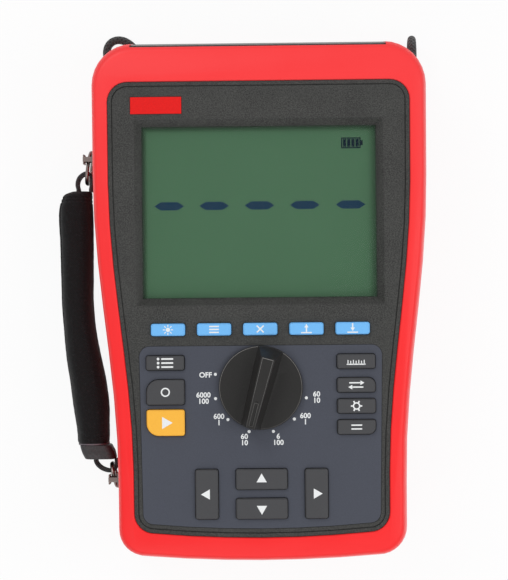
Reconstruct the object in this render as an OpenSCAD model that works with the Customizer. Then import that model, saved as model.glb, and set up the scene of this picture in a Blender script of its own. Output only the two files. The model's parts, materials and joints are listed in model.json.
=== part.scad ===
// Handheld micro ohmmeter lying on its back: +X right, +Y towards the terminal end, +Z out of the front.
// The origin is on the floor under the middle of the case.

/* [Case] */
// Length of the case over both ends of the guard
case_l = 257; // [252:1:285]
// Width of the case over its upper part
case_w = 165; // [160:1:180]
// Width of the case over its waist
waist_w = 143.8; // [142:0.1:150]
// Height of the front rim over the floor
case_h = 57; // [56:1:66]
// Height of the seam between the front and the rear half
seam_z = 28; // [27:0.5:30]
// Radius of the two corners at the terminal end
corner_r = 21.5; // [18:0.5:26]
// Radius of the two corners at the foot end
foot_r = 14; // [11:0.5:18]
// How far the foot end is bowed
foot_bow = 2.4; // [1:0.1:4]
// Flare of each side from the middle to an end
flare = 0.6; // [0:0.1:1.2]
// Thickness of the rubber guard
guard_t = 4; // [3.5:0.1:4.5]
// How far the guard's sides lean in from the seam up to the edge
draft = 1.7; // [1:0.1:2]
// Thickness of the guard's flanges over the front and the back
flange_t = 3; // [2.5:0.1:3.5]
// Wall of the casings
shell_t = 2.6; // [2:0.1:2.8]
// Clearance between the guard and the casings
fit = 0.2; // [0.1:0.05:0.3]
// Open seam between the two halves
seam = 0.3; // [0.2:0.05:0.5]

/* [Front] */
// Width of the red rim at the sides
rim_side = 9.6; // [9:0.1:11]
// Width of the red rim at the terminal end
rim_top = 21.9; // [20:0.1:24]
// Width of the red rim at the foot end
rim_foot = 13.9; // [12.5:0.1:15]
// Radius of the rim's inner corners
rim_r = 9.7; // [7:0.1:12]
// How far the dark edge strip lies below the rim
ledge_drop = 0.8; // [0.5:0.1:1]
// Width of the dark edge strip
ledge_w = 2.4; // [1.8:0.1:3]
// How far the face stands over the edge strip
face_rise = 0.4; // [0.2:0.1:0.6]
// Thickness of the front panel
panel_t = 3; // [2.6:0.1:3.4]
// Width of the display bevel at the face
bevel_w = 120.7; // [110:0.1:122]
// Height of the display bevel at the face
bevel_h = 90.3; // [80:0.1:91]
// How far the bevel draws in on each side
bevel_in = 3.4; // [2.5:0.1:4]
// Depth of the display bevel
bevel_deep = 3.6; // [3:0.1:4.2]
// Distance from the rim's inner edge to the display bevel
window_gap = 18.4; // [17:0.1:22]
// Width of the badge plate
badge_w = 24.8; // [18:0.1:30]
// Height of the badge plate
badge_h = 8.2; // [6:0.1:9]
// Width of the overlay at its upper edge
overlay_w = 117.4; // [114:0.1:118]
// Width of the overlay at its foot
overlay_foot_w = 114.8; // [113:0.1:116]
// Thickness of the overlay
overlay_t = 0.4; // [0.3:0.05:0.5]
// Distance from the overlay's foot to the rim
overlay_gap = 4.5; // [4:0.1:5.5]

/* [Keys] */
// Width of a key under the display
top_key_w = 16.5; // [14:0.1:18]
// Height of a key under the display
top_key_h = 5.9; // [5:0.1:6.6]
// Pitch of the keys under the display
top_key_pitch = 22.3; // [21.5:0.1:23]
// Width of the keys beside the knob
side_key_w = 18.4; // [16:0.1:19]
// Height of a low key beside the knob
low_key_h = 7; // [6:0.1:7.4]
// Height of the zero key
zero_key_h = 12.1; // [10:0.1:12.6]
// Height of the start key
start_key_h = 12.6; // [10:0.1:13.4]
// Width of the arrow keys at the sides
arrow_key_w = 11; // [9:0.1:12]
// Height of the arrow keys at the sides
arrow_key_h = 24; // [22:0.1:25]
// Width of the up and down keys
wide_key_w = 24.8; // [22:0.1:26]
// Height of the up and down keys
wide_key_h = 9.9; // [8.5:0.1:10.2]
// How far the key tops stand over the face
key_rise = 2; // [1.6:0.1:2.6]
// Travel of the keys
key_travel = 1; // [0.6:0.1:1.1]
// Clearance round each key
key_fit = 0.3; // [0.2:0.05:0.4]

/* [Knob] */
// Diameter of the range knob
knob_d = 40.6; // [38:0.1:42]
// Height of the knob over the face
knob_h = 14.5; // [11:0.1:18]
// Radius of the knob's shaft
shaft_r = 4; // [3:0.1:4.5]
// Radial clearance of the shaft in the panel
shaft_fit = 0.06; // [0.04:0.01:0.1]
// Angle that the knob points to, in degrees
knob_turn = 255; // [165:1:345]

/* [Display and boards] */
// Depth of the main board's underside below the face
board_drop = 16.6; // [16.4:0.1:17.5]
// Thickness of the circuit boards
board_t = 1.6; // [1.2:0.1:1.8]
// Thickness of the display window
lens_t = 2; // [1.5:0.1:2.2]
// Thickness of the display glass
glass_t = 2.8; // [2:0.1:3]
// Height of the power board's underside over the floor
power_z = 14; // [13:0.5:16]

/* [Terminals] */
// Width of the terminal panel
end_w = 124; // [120:1:126]
// Height of the terminal panel's lower edge over the floor
end_z = 10; // [9.5:0.5:12]
// Distance from the front rim down to the terminal panel
end_drop = 9; // [8.5:0.5:12]
// Radius of a test lead socket
socket_r = 2; // [1.9:0.05:2.1]
// Depth of a test lead socket
socket_l = 18.5; // [16:0.5:20]
// Pitch of the sockets
socket_pitch = 19; // [18:0.1:19.5]

/* [Back] */
// Height of the rubber feet
foot_h = 2; // [1.5:0.1:3]
// Radius of the rubber feet
foot_pad_r = 7; // [5:0.1:7.5]
// Length of the tilt stand from its hinge to its free end
stand_l = 80; // [60:1:84]
// Width of the tilt stand
stand_w = 56; // [40:1:60]
// Thickness of the tilt stand
stand_t = 2.6; // [2:0.1:3]
// Radius of the stand's pins
pin_r = 1.25; // [1:0.05:1.4]
// Radial clearance of the stand on its pins
pin_fit = 0.05; // [0.03:0.01:0.1]
// Length of the battery pack
pack_l = 66; // [60:1:67]
// Width of the battery pack
pack_w = 37; // [34:0.5:38]
// Height of the battery pack
pack_h = 18.6; // [17:0.1:19]

/* [Hand strap] */
// Thickness of the padded grip
pad_t = 17; // [14:0.5:17.5]
// Width of the padded grip
pad_w = 30.4; // [26:0.2:31]
// Distance from the origin to the upper staple
lug_y = 71; // [69:0.5:73]
// Distance from the origin to the lower staple
low_lug_y = 87.8; // [87:0.2:89]
// Radius of the rings' wire
wire_r = 0.9; // [0.7:0.05:1]
// Bend radius of the upper ring
ring_r = 7.8; // [7.5:0.1:8]
// Bend radius of the lower ring
low_ring_r = 5.7; // [5.5:0.1:5.9]
// Width of the webbing
web_w = 11; // [9:0.1:11.4]
// Thickness of the webbing
web_t = 1.8; // [1.4:0.1:2]

/* [Cord loops] */
// Diameter of the corner cords
cord_d = 4.2; // [3.8:0.1:4.4]

/* [Hidden] */
$fn = 48;
// Overrun of the cuts
over = 1;
// Clearance of trims and internal parts in their seats
seat = 0.25;

// Outline of the case, with inset copies that all have the same number of points
waist_low_share = -0.33;
waist_high_share = 0.2335;
bow_n = 3;
arc_n = 8;
side_n = 10;
least_r = 1;

function ease(t) = (1 - cos(180 * min(1, max(0, t)))) / 2;
function half_w(y) = waist_w / 2 + flare * y / (case_l / 2)
  + (case_w - waist_w) / 2 * ease((y / case_l - waist_low_share) / (waist_high_share - waist_low_share));
function half_outline(side, top, foot, rt, rf) =
  let (yt = case_l / 2 - top - rt, xt = half_w(yt) - side - rt,
       yf = -case_l / 2 + foot + foot_bow + rf, xf = half_w(yf) - side - rf)
  concat(
    [for (i = [0 : bow_n - 1]) [xf * i / bow_n, yf - rf - foot_bow * (1 - pow(i / bow_n, 2))]],
    [for (i = [0 : arc_n]) [xf + rf * sin(90 * i / arc_n), yf - rf * cos(90 * i / arc_n)]],
    [for (i = [1 : side_n - 1]) let (y = yf + (yt - yf) * i / side_n) [half_w(y) - side, y]],
    [for (i = [0 : arc_n]) [xt + rt * cos(90 * i / arc_n), yt + rt * sin(90 * i / arc_n)]],
    [[0, yt + rt]]);
function outline(side, top, foot, rt, rf) =
  let (h = half_outline(side, top, foot, rt, rf))
  concat(h, [for (i = [len(h) - 2 : -1 : 1]) [-h[i][0], h[i][1]]]);
function case_outline(d) =
  outline(d, d, d, max(corner_r - d, least_r), max(foot_r - d, least_r));
function rim_outline(d) =
  outline(rim_side + d, rim_top + d, rim_foot + d, max(rim_r - d, least_r), max(rim_r - d, least_r));

module prism(points, z0, z1) translate([0, 0, z0]) linear_extrude(z1 - z0) polygon(points);
module box(x0, x1, y0, y1, z0, z1) translate([x0, y0, z0]) cube([x1 - x0, y1 - y0, z1 - z0]);
module rod(r, z0, z1) translate([0, 0, z0]) cylinder(r = r, h = z1 - z0);
module at(places) for (p = places) translate([p[0], p[1], 0]) children();
module rod_y(r, x, z, y0, y1) translate([x, y1, z]) rotate([90, 0, 0]) cylinder(r = r, h = y1 - y0);

// Rectangle with one radius for each corner, from the lower right corner round
function rounded(x, y, w, h, r) =
  let (corners = [[1, -1, -90], [1, 1, 0], [-1, 1, 90], [-1, -1, 180]])
  [for (k = [0 : 3], i = [0 : arc_n])
    let (c = corners[k], a = c[2] + 90 * i / arc_n)
    [x + c[0] * (w / 2 - r[k]) + r[k] * cos(a), y + c[1] * (h / 2 - r[k]) + r[k] * sin(a)]];

// Closed skin through a row of rings, each a list of [x, y, z] with as many points as the others
function skin_faces(rings, n, closed) =
  [for (k = [0 : closed ? rings - 1 : rings - 2], i = [0 : n - 1], half = [0, 1])
    let (a = k * n + i, b = k * n + (i + 1) % n,
         c = ((k + 1) % rings) * n + i, d = ((k + 1) % rings) * n + (i + 1) % n)
    half == 0 ? [a, c, d] : [a, d, b]];
function flat(lists) = [for (l = lists) each l];
module loop_skin(rings)
  polyhedron(flat(rings), skin_faces(len(rings), len(rings[0]), true));
module capped_skin(rings) {
  n = len(rings[0]);
  last = (len(rings) - 1) * n;
  polyhedron(flat(rings), concat(skin_faces(len(rings), n, false),
    [[for (i = [0 : n - 1]) i]], [[for (i = [n - 1 : -1 : 0]) last + i]]));
}
function level(points, z) = [for (p = points) [p[0], p[1], z]];

// Levels of the front
flange_z = case_h - flange_t;
deck_z = flange_z - fit;
deck_in = deck_z - shell_t;
ledge_z = case_h - ledge_drop;
face_z = ledge_z + face_rise;
panel_in = face_z - panel_t;
shell_d = guard_t + fit;
lens_z = face_z - bevel_deep;
board_z = face_z - board_drop;
board_top = board_z + board_t;

// Places of the front, each row following the one above it
rim_y = case_l / 2 - rim_top;
bevel_y = rim_y - window_gap - bevel_h / 2;
top_key_gap = 8.7;
top_key_y = bevel_y - bevel_h / 2 - top_key_gap - top_key_h / 2;
overlay_key_gap = 5.05;
overlay_y = top_key_y - top_key_h / 2 - overlay_key_gap;
overlay_foot = -case_l / 2 + rim_foot + overlay_gap;
first_row_gap = 4.5;
first_row_y = overlay_y - first_row_gap - low_key_h / 2;
zero_gap = 4.6;
zero_y = first_row_y - low_key_h / 2 - zero_gap - zero_key_h / 2;
start_gap = 2.4;
start_y = zero_y - zero_key_h / 2 - start_gap - start_key_h / 2;
mode_gap = 4.4;
row_gap = 3.15;
mode_y = first_row_y - low_key_h - mode_gap;
setup_y = mode_y - low_key_h - row_gap;
compare_y = setup_y - low_key_h - row_gap;
knob_y = overlay_y - knob_d / 2;
dial_margin = 16.6;
side_key_x = knob_d / 2 + dial_margin + side_key_w / 2;
arrow_margin = 4.7;
down_y = overlay_foot + arrow_margin + wide_key_h / 2;
arrow_gap = 4.3;
up_y = down_y + wide_key_h + arrow_gap;
arrow_key_y = (up_y + down_y) / 2;
arrow_key_x = wide_key_w / 2 + arrow_key_w / 2 + 2 * arrow_gap;

// Keys: name, place, width, height and the radius of each corner from the lower right round
key_r = 1.2;
swept_r = 6;
top_key_names = ["key_backlight", "key_data", "key_clear", "key_read", "key_save"];
even_r = [key_r, key_r, key_r, key_r];
top_keys = [for (i = [0 : 4])
  [top_key_names[i], [(i - 2) * top_key_pitch, top_key_y], top_key_w, top_key_h, even_r]];
side_keys = [
  ["key_index", [-side_key_x, first_row_y], side_key_w, low_key_h, even_r],
  ["key_zero", [-side_key_x, zero_y], side_key_w, zero_key_h, [key_r, key_r, swept_r, key_r]],
  ["key_start", [-side_key_x, start_y], side_key_w, start_key_h, [key_r, key_r, key_r, swept_r]],
  ["key_length", [side_key_x, first_row_y], side_key_w, low_key_h, even_r],
  ["key_mode", [side_key_x, mode_y], side_key_w, low_key_h,
    [key_r, swept_r * low_key_h / zero_key_h, key_r, key_r]],
  ["key_setup", [side_key_x, setup_y], side_key_w, low_key_h, even_r],
  ["key_compare", [side_key_x, compare_y], side_key_w, low_key_h,
    [swept_r * low_key_h / zero_key_h, key_r, key_r, key_r]]];
arrow_keys = [
  ["key_left", [-arrow_key_x, arrow_key_y], arrow_key_w, arrow_key_h, even_r],
  ["key_right", [arrow_key_x, arrow_key_y], arrow_key_w, arrow_key_h, even_r],
  ["key_up", [0, up_y], wide_key_w, wide_key_h, even_r],
  ["key_down", [0, down_y], wide_key_w, wide_key_h, even_r]];
keys = concat(top_keys, side_keys, arrow_keys);
function key_outline(k, d) =
  rounded(k[1][0], k[1][1], k[2] + 2 * d, k[3] + 2 * d, [for (r = k[4]) r + d]);

mat_t = 1.6;
dome_h = 1.4;
dome_top = board_top + mat_t + dome_h;
key_flange = 1;
key_flange_t = 1.3;
stem_end = dome_top + key_travel + seat;
edge_step = 0.4;

// Screws and posts
boss_r = 4;
screw_r = 1.25;
screw_fit = 0.05;
head_r = 3;
head_h = 2.4;
top_boss_y = case_l / 2 - corner_r - 2 * fit;
mid_boss_y = 0.117 * case_l;
foot_boss_y = -case_l / 2 + rim_foot + boss_r + 3 * shell_t - foot_bow;
boss_in = shell_d + 2 * shell_t + boss_r - key_r;
function boss_x(y) = half_w(y) - boss_in;
case_bosses = [for (y = [top_boss_y, mid_boss_y, foot_boss_y], s = [-1, 1]) [s * boss_x(y), y]];
post_r = 3;
post_screw_r = 1;
post_in = 2 * shell_t;
top_post = [bevel_w / 2, rim_y - post_in - post_r];
mid_post_y = overlay_y;
mid_post = [bevel_w / 2 + seat, mid_post_y];
foot_post = [overlay_foot_w / 2 - 2 * post_r, down_y];
board_posts = [for (p = [top_post, mid_post, foot_post], s = [-1, 1]) [s * p[0], p[1]]];

// Terminal end
end_top = case_h - end_drop;
end_mid = (end_z + end_top) / 2;
notch = 5;
end_recess = 2.7;
end_face = case_l / 2 - end_recess;
end_wall = 3;
end_side = 1.6;
end_back = case_l / 2 - shell_d - shell_t - fit;
end_flange = 1.8;
socket_x = [for (i = [0 : 3]) -8 * socket_pitch / 19 + i * socket_pitch];
collar_r = 6.3;
collar_flange_r = 7.8;
collar_bore_r = 4.2;
sleeve_r = 3;
port_x = -1.48 * socket_pitch;
port_w = 12;
port_h = 11;
jack_in = 6.6;
jack_x = -end_w / 2 + jack_in;
jack_r = 4.6;

// Back
rear_rim = 8;
rear_r = 13.5;
back_z = foot_h + fit;
rear_deck = foot_h + flange_t + fit;
back_t = 2.8;
pocket_l = 17.5;
pocket_y = case_l / 2 - pocket_l;
pocket_x = 56;
function rear_outline(d) = outline(rear_rim + d, rear_rim + d, rear_rim + d, rear_r, rear_r - foot_bow);
stand_y = 0.257 * case_l;
knuckle_r = 2.3;
stand_z = back_z + fit;
hinge_z = stand_z + knuckle_r;
pan_t = 2;
pan_top = hinge_z + knuckle_r + seat + pan_t;
pin_l = 9;
bay_y = -0.241 * case_l;
bay_play = 1.5;
bay_w = pack_w + 2 * bay_play;
bay_l = pack_l + 2 * bay_play;
bay_wall = 1.6;
cover_lip = 3;
cover_ear = 7;
cover_t = 2.2;
cover_w = bay_w + 2 * cover_lip;
cover_l = bay_l + 2 * cover_ear;
cover_seat = back_z + fit + cover_t;
cover_screw_x = bay_w / 2 - 2 * boss_r;
cover_screws = [for (x = [-1, 1], y = [-1, 1])
  [x * cover_screw_x, bay_y + y * (cover_l / 2 - cover_ear / 2)]];
feet_places = [for (p = [[0.315, 0.4], [0.26, -0.41]], s = [-1, 1]) [s * p[0] * case_w, p[1] * case_l]];

module rear_prism(d, z0, z1) prism(rear_outline(d), z0, z1);

// Red rubber guard
edge_n = 5;
edge_h = 8;
edge_side = 4.6;
edge_top = 7.3;
edge_foot = 5.5;
end_draft_share = 1.55;
seam_bevel = 0.5;
lip = 0.5;
function drawn_in(edge, lean, u) = lean + (edge - lean) * u;
function edge_ring(u, z) =
  let (end_lean = draft * end_draft_share, top = drawn_in(edge_top, end_lean, u),
       foot = drawn_in(edge_foot, end_lean, u))
  level(outline(drawn_in(edge_side, draft, u), top, foot, corner_r - top / 2, foot_r - foot / 2), z);
guard_rings = concat(
  [level(case_outline(seam_bevel), seam_z + seam / 2), level(case_outline(0), seam_z + seam / 2 + seam_bevel)],
  [for (i = [0 : edge_n]) let (a = 90 * i / edge_n)
    edge_ring(1 - cos(a), case_h - edge_h * (1 - sin(a)))],
  [level(rim_outline(-lip), case_h), level(rim_outline(0), case_h - lip), level(rim_outline(0), flange_z)],
  [level(case_outline(guard_t), flange_z), level(case_outline(guard_t), seam_z + seam / 2)]);
back_edge = 8;
function back_ring(u, z) = level(outline(edge_foot * u, edge_foot * u, edge_foot * u,
  corner_r - edge_foot * u, foot_r - edge_foot * u), z);
rear_guard_rings = concat(
  [level(case_outline(guard_t), rear_deck - fit), level(rear_outline(0), rear_deck - fit),
   level(rear_outline(0), foot_h)],
  [for (i = [0 : edge_n]) let (a = 90 * i / edge_n) back_ring(1 - sin(a), foot_h + back_edge * (1 - cos(a)))],
  [level(case_outline(0), seam_z - seam / 2 - seam_bevel), level(case_outline(seam_bevel), seam_z - seam / 2),
   level(case_outline(guard_t), seam_z - seam / 2)]);

lug_seat = 1;
lug_base_h = 16;
lug_base_l = 7.4;
module lug_pockets()
  for (y = [lug_y, -low_lug_y])
    box(-half_w(y) - over, -half_w(y) + lug_seat, y - lug_base_l / 2 - seat, y + lug_base_l / 2 + seat,
      seam_z - lug_base_h / 2 - seat, seam_z + lug_base_h / 2 + seat);
module end_opening()
  box(-end_w / 2 - seat, end_w / 2 + seat, end_back - over, case_l / 2 + over,
    end_z - seat, end_top + seat);

module front_guard() color("#f8403f")
  difference() {
    loop_skin(guard_rings);
    box(-end_w / 2 - seat, end_w / 2 + seat, case_l / 2 - notch, case_l / 2 + over, 0, case_h + over);
    end_opening();
    lug_pockets();
  }

module rear_guard() color("#f8403f")
  difference() {
    loop_skin(rear_guard_rings);
    end_opening();
    lug_pockets();
    cord_pockets();
    rod_y(cord_d / 2 + seat, cord_x, cord_high_z, pocket_y + 3 * cord_d / 2, case_l / 2 + over);
  }

module cord_pockets()
  for (s = [-1, 1])
    box(s > 0 ? pocket_x : -case_w, s > 0 ? case_w : -pocket_x, pocket_y, case_l, -over, rear_deck);

// Dark casings
module bevel_cut() {
  top = [bevel_w + 2 * bevel_in * over / bevel_deep, bevel_h + 2 * bevel_in * over / bevel_deep];
  foot = [bevel_w - 2 * bevel_in, bevel_h - 2 * bevel_in];
  function corners(s, z) = [for (c = [[1, -1], [1, 1], [-1, 1], [-1, -1]])
    [c[0] * s[0] / 2, bevel_y + c[1] * s[1] / 2, z]];
  capped_skin([corners(foot, lens_z), corners(top, face_z + over)]);
}
seat_wall = 2;
lens_w = bevel_w - 2 * bevel_in + 2 * seat_wall;
lens_h = bevel_h - 2 * bevel_in + 2 * seat_wall;
lens_foot = lens_z - lens_t - fit;
overlay_r = 5;
function overlay_outline(d) =
  let (r = overlay_r - d, w = overlay_w / 2 - d, wf = overlay_foot_w / 2 - d)
  concat(
    [for (i = [0 : arc_n]) [w - r + r * cos(90 * i / arc_n), overlay_y - d - r + r * sin(90 * i / arc_n)]],
    [for (i = [0 : arc_n]) [-w + r - r * sin(90 * i / arc_n), overlay_y - d - r + r * cos(90 * i / arc_n)]],
    [for (i = [0 : arc_n]) [-wf + r - r * cos(90 * i / arc_n),
      overlay_foot + foot_bow + d + r - r * sin(90 * i / arc_n)]],
    [for (i = [-bow_n + 1 : bow_n - 1]) let (t = i / bow_n)
      [(wf - r) * t, overlay_foot + d + foot_bow * t * t]],
    [for (i = [0 : arc_n]) [wf - r + r * sin(90 * i / arc_n),
      overlay_foot + foot_bow + d + r - r * cos(90 * i / arc_n)]]);
badge_out = 1.7;
badge_gap = 2.7;
badge_x = -bevel_w / 2 - badge_out + badge_w / 2;
badge_y = bevel_y + bevel_h / 2 + badge_gap + badge_h / 2;
badge_t = 0.6;
groove_w = 0.6;

module front_casing() color("#474745")
  difference() {
    union() {
      prism(case_outline(shell_d), seam_z + seam / 2, deck_z);
      prism(rim_outline(fit), deck_in, ledge_z);
      prism(rim_outline(fit + ledge_w), ledge_z - over, face_z);
    }
    difference() {
      union() {
        prism(case_outline(shell_d + shell_t), seam_z - over, deck_in);
        prism(rim_outline(fit + shell_t), deck_in - over, panel_in);
      }
      translate([0, bevel_y, 0])
        box(-lens_w / 2 - seat_wall, lens_w / 2 + seat_wall, -lens_h / 2 - seat_wall, lens_h / 2 + seat_wall,
          lens_foot, case_h);
      at(case_bosses) rod(boss_r, seam_z + seam / 2, case_h);
      at(board_posts) rod(post_r, board_top, case_h);
      translate([0, knob_y, 0]) rod(shaft_r + 3 * shaft_fit + shell_t, panel_in - shell_t, case_h);
    }
    difference() {
      prism(rim_outline(fit + ledge_w - groove_w), ledge_z - groove_w, case_h);
      prism(rim_outline(fit + ledge_w), 0, case_h + over);
    }
    bevel_cut();
    translate([0, bevel_y, 0]) {
      box(-lens_w / 2 - seat, lens_w / 2 + seat, -lens_h / 2 - seat, lens_h / 2 + seat, lens_foot - over, lens_z - fit);
      box(-lens_w / 2 + seat_wall, lens_w / 2 - seat_wall, -lens_h / 2 + seat_wall, lens_h / 2 - seat_wall,
        lens_foot, lens_z + fit);
    }
    prism(overlay_outline(-seat), face_z - overlay_t, case_h);
    box(badge_x - badge_w / 2 - fit, badge_x + badge_w / 2 + fit, badge_y - badge_h / 2 - fit,
      badge_y + badge_h / 2 + fit, face_z - badge_t, case_h);
    for (k = keys) prism(key_outline(k, key_fit), panel_in - over, case_h);
    translate([0, knob_y, 0]) rod(shaft_r + shaft_fit, panel_in - 2 * shell_t, case_h);
    at(case_bosses) rod(screw_r + screw_fit, 0, case_screw_top + seat);
    at(board_posts) rod(post_screw_r + screw_fit, 0, board_screw_top + seat);
    end_opening();
  }

case_screw_top = board_z + 4 * screw_r;
board_screw_top = board_top + 6 * post_screw_r;
head_z = foot_h + head_h;

module rear_casing() color("#4a4a48")
  difference() {
    union() {
      difference() {
        union() {
          prism(case_outline(shell_d), rear_deck, seam_z - seam / 2);
          rear_prism(fit, back_z, rear_deck + over);
        }
        prism(case_outline(shell_d + shell_t), rear_deck + shell_t, seam_z + over);
        prism(outline(rear_rim + back_t, 2 * rear_rim + back_t, rear_rim + back_t, rear_r, rear_r - foot_bow),
          back_z + back_t, seam_z + over);
      }
      at(case_bosses) rod(boss_r, back_z, seam_z - seam / 2);
      box(-stand_w / 2 - pan_side, stand_w / 2 + pan_side, stand_y - stand_l - pan_t,
        stand_y + knuckle_r + seat + pan_t, back_z, pan_top);
      box(-bay_w / 2 - bay_wall, bay_w / 2 + bay_wall, bay_y - bay_l / 2 - bay_wall,
        bay_y + bay_l / 2 + bay_wall, back_z, bay_top);
      box(-cover_w / 2 - pan_t, cover_w / 2 + pan_t, bay_y - cover_l / 2 - pan_t,
        bay_y + cover_l / 2 + pan_t, back_z, cover_seat + pan_t);
      at(cover_screws) rod(cover_boss_r, back_z, cover_screw_top + pan_t);
      at(power_posts) rod(post_r, back_z, power_z);
    }
    at(case_bosses) {
      rod(screw_r + 3 * screw_fit, 0, seam_z + over);
      rod(head_r + seat, 0, head_z + head_h + screw_fit);
    }
    box(-stand_w / 2 - seat, stand_w / 2 + seat, stand_y - stand_l - seat, stand_y + knuckle_r + seat,
      0, stand_z + stand_t + seat);
    box(-stand_w / 2 - seat, stand_w / 2 + seat, stand_y - knuckle_r - seat, stand_y + knuckle_r + seat,
      0, hinge_z + knuckle_r + seat);
    translate([0, stand_y - stand_l, 0]) rod(foot_pad_r, 0, stand_z + stand_t + seat);
    for (s = [-1, 1]) stand_pin(s, pin_r);
    box(-bay_w / 2, bay_w / 2, bay_y - bay_l / 2, bay_y + bay_l / 2, 0, bay_top - bay_wall);
    box(-cover_w / 2 - seat, cover_w / 2 + seat, bay_y - cover_l / 2 - seat, bay_y + cover_l / 2 + seat,
      0, cover_seat);
    at(cover_screws) rod(screw_r + screw_fit, 0, cover_screw_top + seat);
    at(power_posts) rod(post_screw_r + screw_fit, power_z - 2 * post_r, power_z + over);
    at(feet_places) rod(foot_pad_r + seat, 0, back_z + foot_seat);
    end_opening();
    cord_pockets();
  }

pan_side = 3 * pan_t;
bay_top = cover_seat + pack_h + 2 * bay_wall;
cover_boss_r = 2.6;
cover_screw_top = cover_seat + 2 * cover_boss_r;
foot_seat = 0.8;
power_top_y = 0.36 * case_l;
power_foot_y = -0.06 * case_l;
power_w = 0.67 * case_w;
power_posts = [for (y = [power_top_y - 2 * post_r, power_foot_y + 2 * post_r], s = [-1, 1])
  [s * (power_w / 2 - 2 * post_r), y]];

// Trim on the front
module panel_overlay() color("#51545d")
  difference() {
    prism(overlay_outline(0), face_z - overlay_t, face_z);
    for (k = keys) prism(key_outline(k, key_fit), 0, case_h);
    translate([0, knob_y, 0]) rod(shaft_r + 3 * seat, 0, case_h);
  }

module badge_plate() color("#e8221f")
  box(badge_x - badge_w / 2, badge_x + badge_w / 2, badge_y - badge_h / 2, badge_y + badge_h / 2,
    face_z - badge_t, face_z + fit);

// Display
module display_window() color("#9fb3a5", 0.4)
  translate([0, bevel_y, 0])
    box(-lens_w / 2, lens_w / 2, -lens_h / 2, lens_h / 2, lens_z - fit - lens_t, lens_z - fit);

frame_t = 2.4;
glass_w = lens_w - 2 * seat_wall;
glass_h = lens_h - 2 * seat_wall;
frame_w = glass_w + 2 * seat + 2 * frame_t;
frame_l = glass_h + 2 * seat + 2 * frame_t;
frame_top = lens_foot - seat;
glass_top = frame_top - frame_t / 2;
glass_z = glass_top - glass_t;
bezel_in = 0.4;

module lcd_frame() color("#2a2a2a")
  translate([0, bevel_y, 0])
    difference() {
      box(-frame_w / 2, frame_w / 2, -frame_l / 2, frame_l / 2, board_top, frame_top);
      box(-glass_w / 2 - seat, glass_w / 2 + seat, -glass_h / 2 - seat, glass_h / 2 + seat,
        board_top - over, glass_top);
      box(-glass_w / 2 + bezel_in, glass_w / 2 - bezel_in, -glass_h / 2 + bezel_in, glass_h / 2 - bezel_in,
        board_top, frame_top + over);
    }

module lcd_glass() color("#4d6d52")
  translate([0, bevel_y, 0])
    box(-glass_w / 2, glass_w / 2, -glass_h / 2, glass_h / 2, glass_z, glass_top);

connector_t = 3;
module lcd_backlight() color("#dfe8da")
  translate([0, bevel_y, 0])
    box(-glass_w / 2, glass_w / 2, -glass_h / 2 + connector_t + seat, glass_h / 2 - connector_t - seat,
      board_top, glass_z);

module lcd_connector() color("#b07a86")
  translate([0, bevel_y, 0])
    for (s = [-1, 1])
      box(-glass_w / 2 + connector_t, glass_w / 2 - connector_t,
        s * (glass_h / 2 - connector_t / 2) - connector_t / 2, s * (glass_h / 2 - connector_t / 2) + connector_t / 2,
        board_top, glass_z);

// Main board and what is on it
board_in = 4;
module main_board() color("#1f6b3a")
  difference() {
    prism(rim_outline(board_in), board_z, board_top);
    at(case_bosses) rod(boss_r + 2 * seat, 0, case_h);
    at(board_posts) rod(post_screw_r + seat, 0, case_h);
    translate([0, knob_y, 0]) rod(hub_r + seat, 0, case_h);
  }

// Parts under the board: place as shares of the case, size as shares of a chip
chip = 10;
part_shares = [
  [-0.24, 0.28, 1.4, 1.4, 0.2], [0.1, 0.3, 2.4, 1.2, 0.35], [-0.05, 0.1, 1.2, 1.2, 0.2],
  [0.22, 0.12, 1.6, 1, 0.9], [0.22, 0.02, 1.6, 1, 0.9], [-0.25, 0.02, 2.2, 0.8, 0.8],
  [-0.2, -0.13, 0.8, 0.8, 0.18], [0.22, -0.14, 1.2, 0.8, 0.2], [0, -0.36, 2.6, 0.7, 0.6]];
module board_parts() color("#303236")
  for (p = part_shares)
    box(p[0] * case_w - p[2] * chip / 2, p[0] * case_w + p[2] * chip / 2,
      p[1] * case_l - p[3] * chip / 2, p[1] * case_l + p[3] * chip / 2, board_z - p[4] * chip, board_z);

module board_screws() color("#b9bcc0")
  at(board_posts) {
    rod(post_screw_r, board_z, board_screw_top);
    rod(2.2 * post_screw_r, board_z - 1.6 * post_screw_r, board_z);
  }

mat_gap = 1.2;
mat_w = overlay_foot_w - 2 * mat_gap;
mat_step_y = compare_y - low_key_h / 2 - row_gap;
mat_foot_w = 2 * (arrow_key_x + arrow_key_w / 2 + arrow_gap);
rotor_r = 17;
module keypad_mat() color("#8f9296")
  difference() {
    union() {
      box(-mat_w / 2, mat_w / 2, mat_step_y, top_key_y - top_key_h / 2 - fit, board_top, board_top + mat_t);
      box(-mat_foot_w / 2, mat_foot_w / 2, down_y - wide_key_h / 2 - mat_gap, mat_step_y + over,
        board_top, board_top + mat_t);
      box(-mat_w / 2, mat_w / 2, mat_step_y, bevel_y - frame_l / 2 - mat_gap, board_top, board_top + mat_t);
      for (k = keys) prism(key_outline(k, -mat_gap), board_top, dome_top);
    }
    translate([0, knob_y, 0]) rod(rotor_r + 2 * seat, 0, case_h);
    at(board_posts) rod(post_r + 2 * seat, 0, case_h);
  }

// Keys, each with a flange that keeps it under the panel
module key(k, c) color(c)
  union() {
    prism(key_outline(k, 0), stem_end, face_z + key_rise - edge_step);
    prism(key_outline(k, -edge_step), stem_end, face_z + key_rise);
    prism(key_outline(k, key_flange), panel_in - fit - key_flange_t, panel_in - fit);
  }

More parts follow.
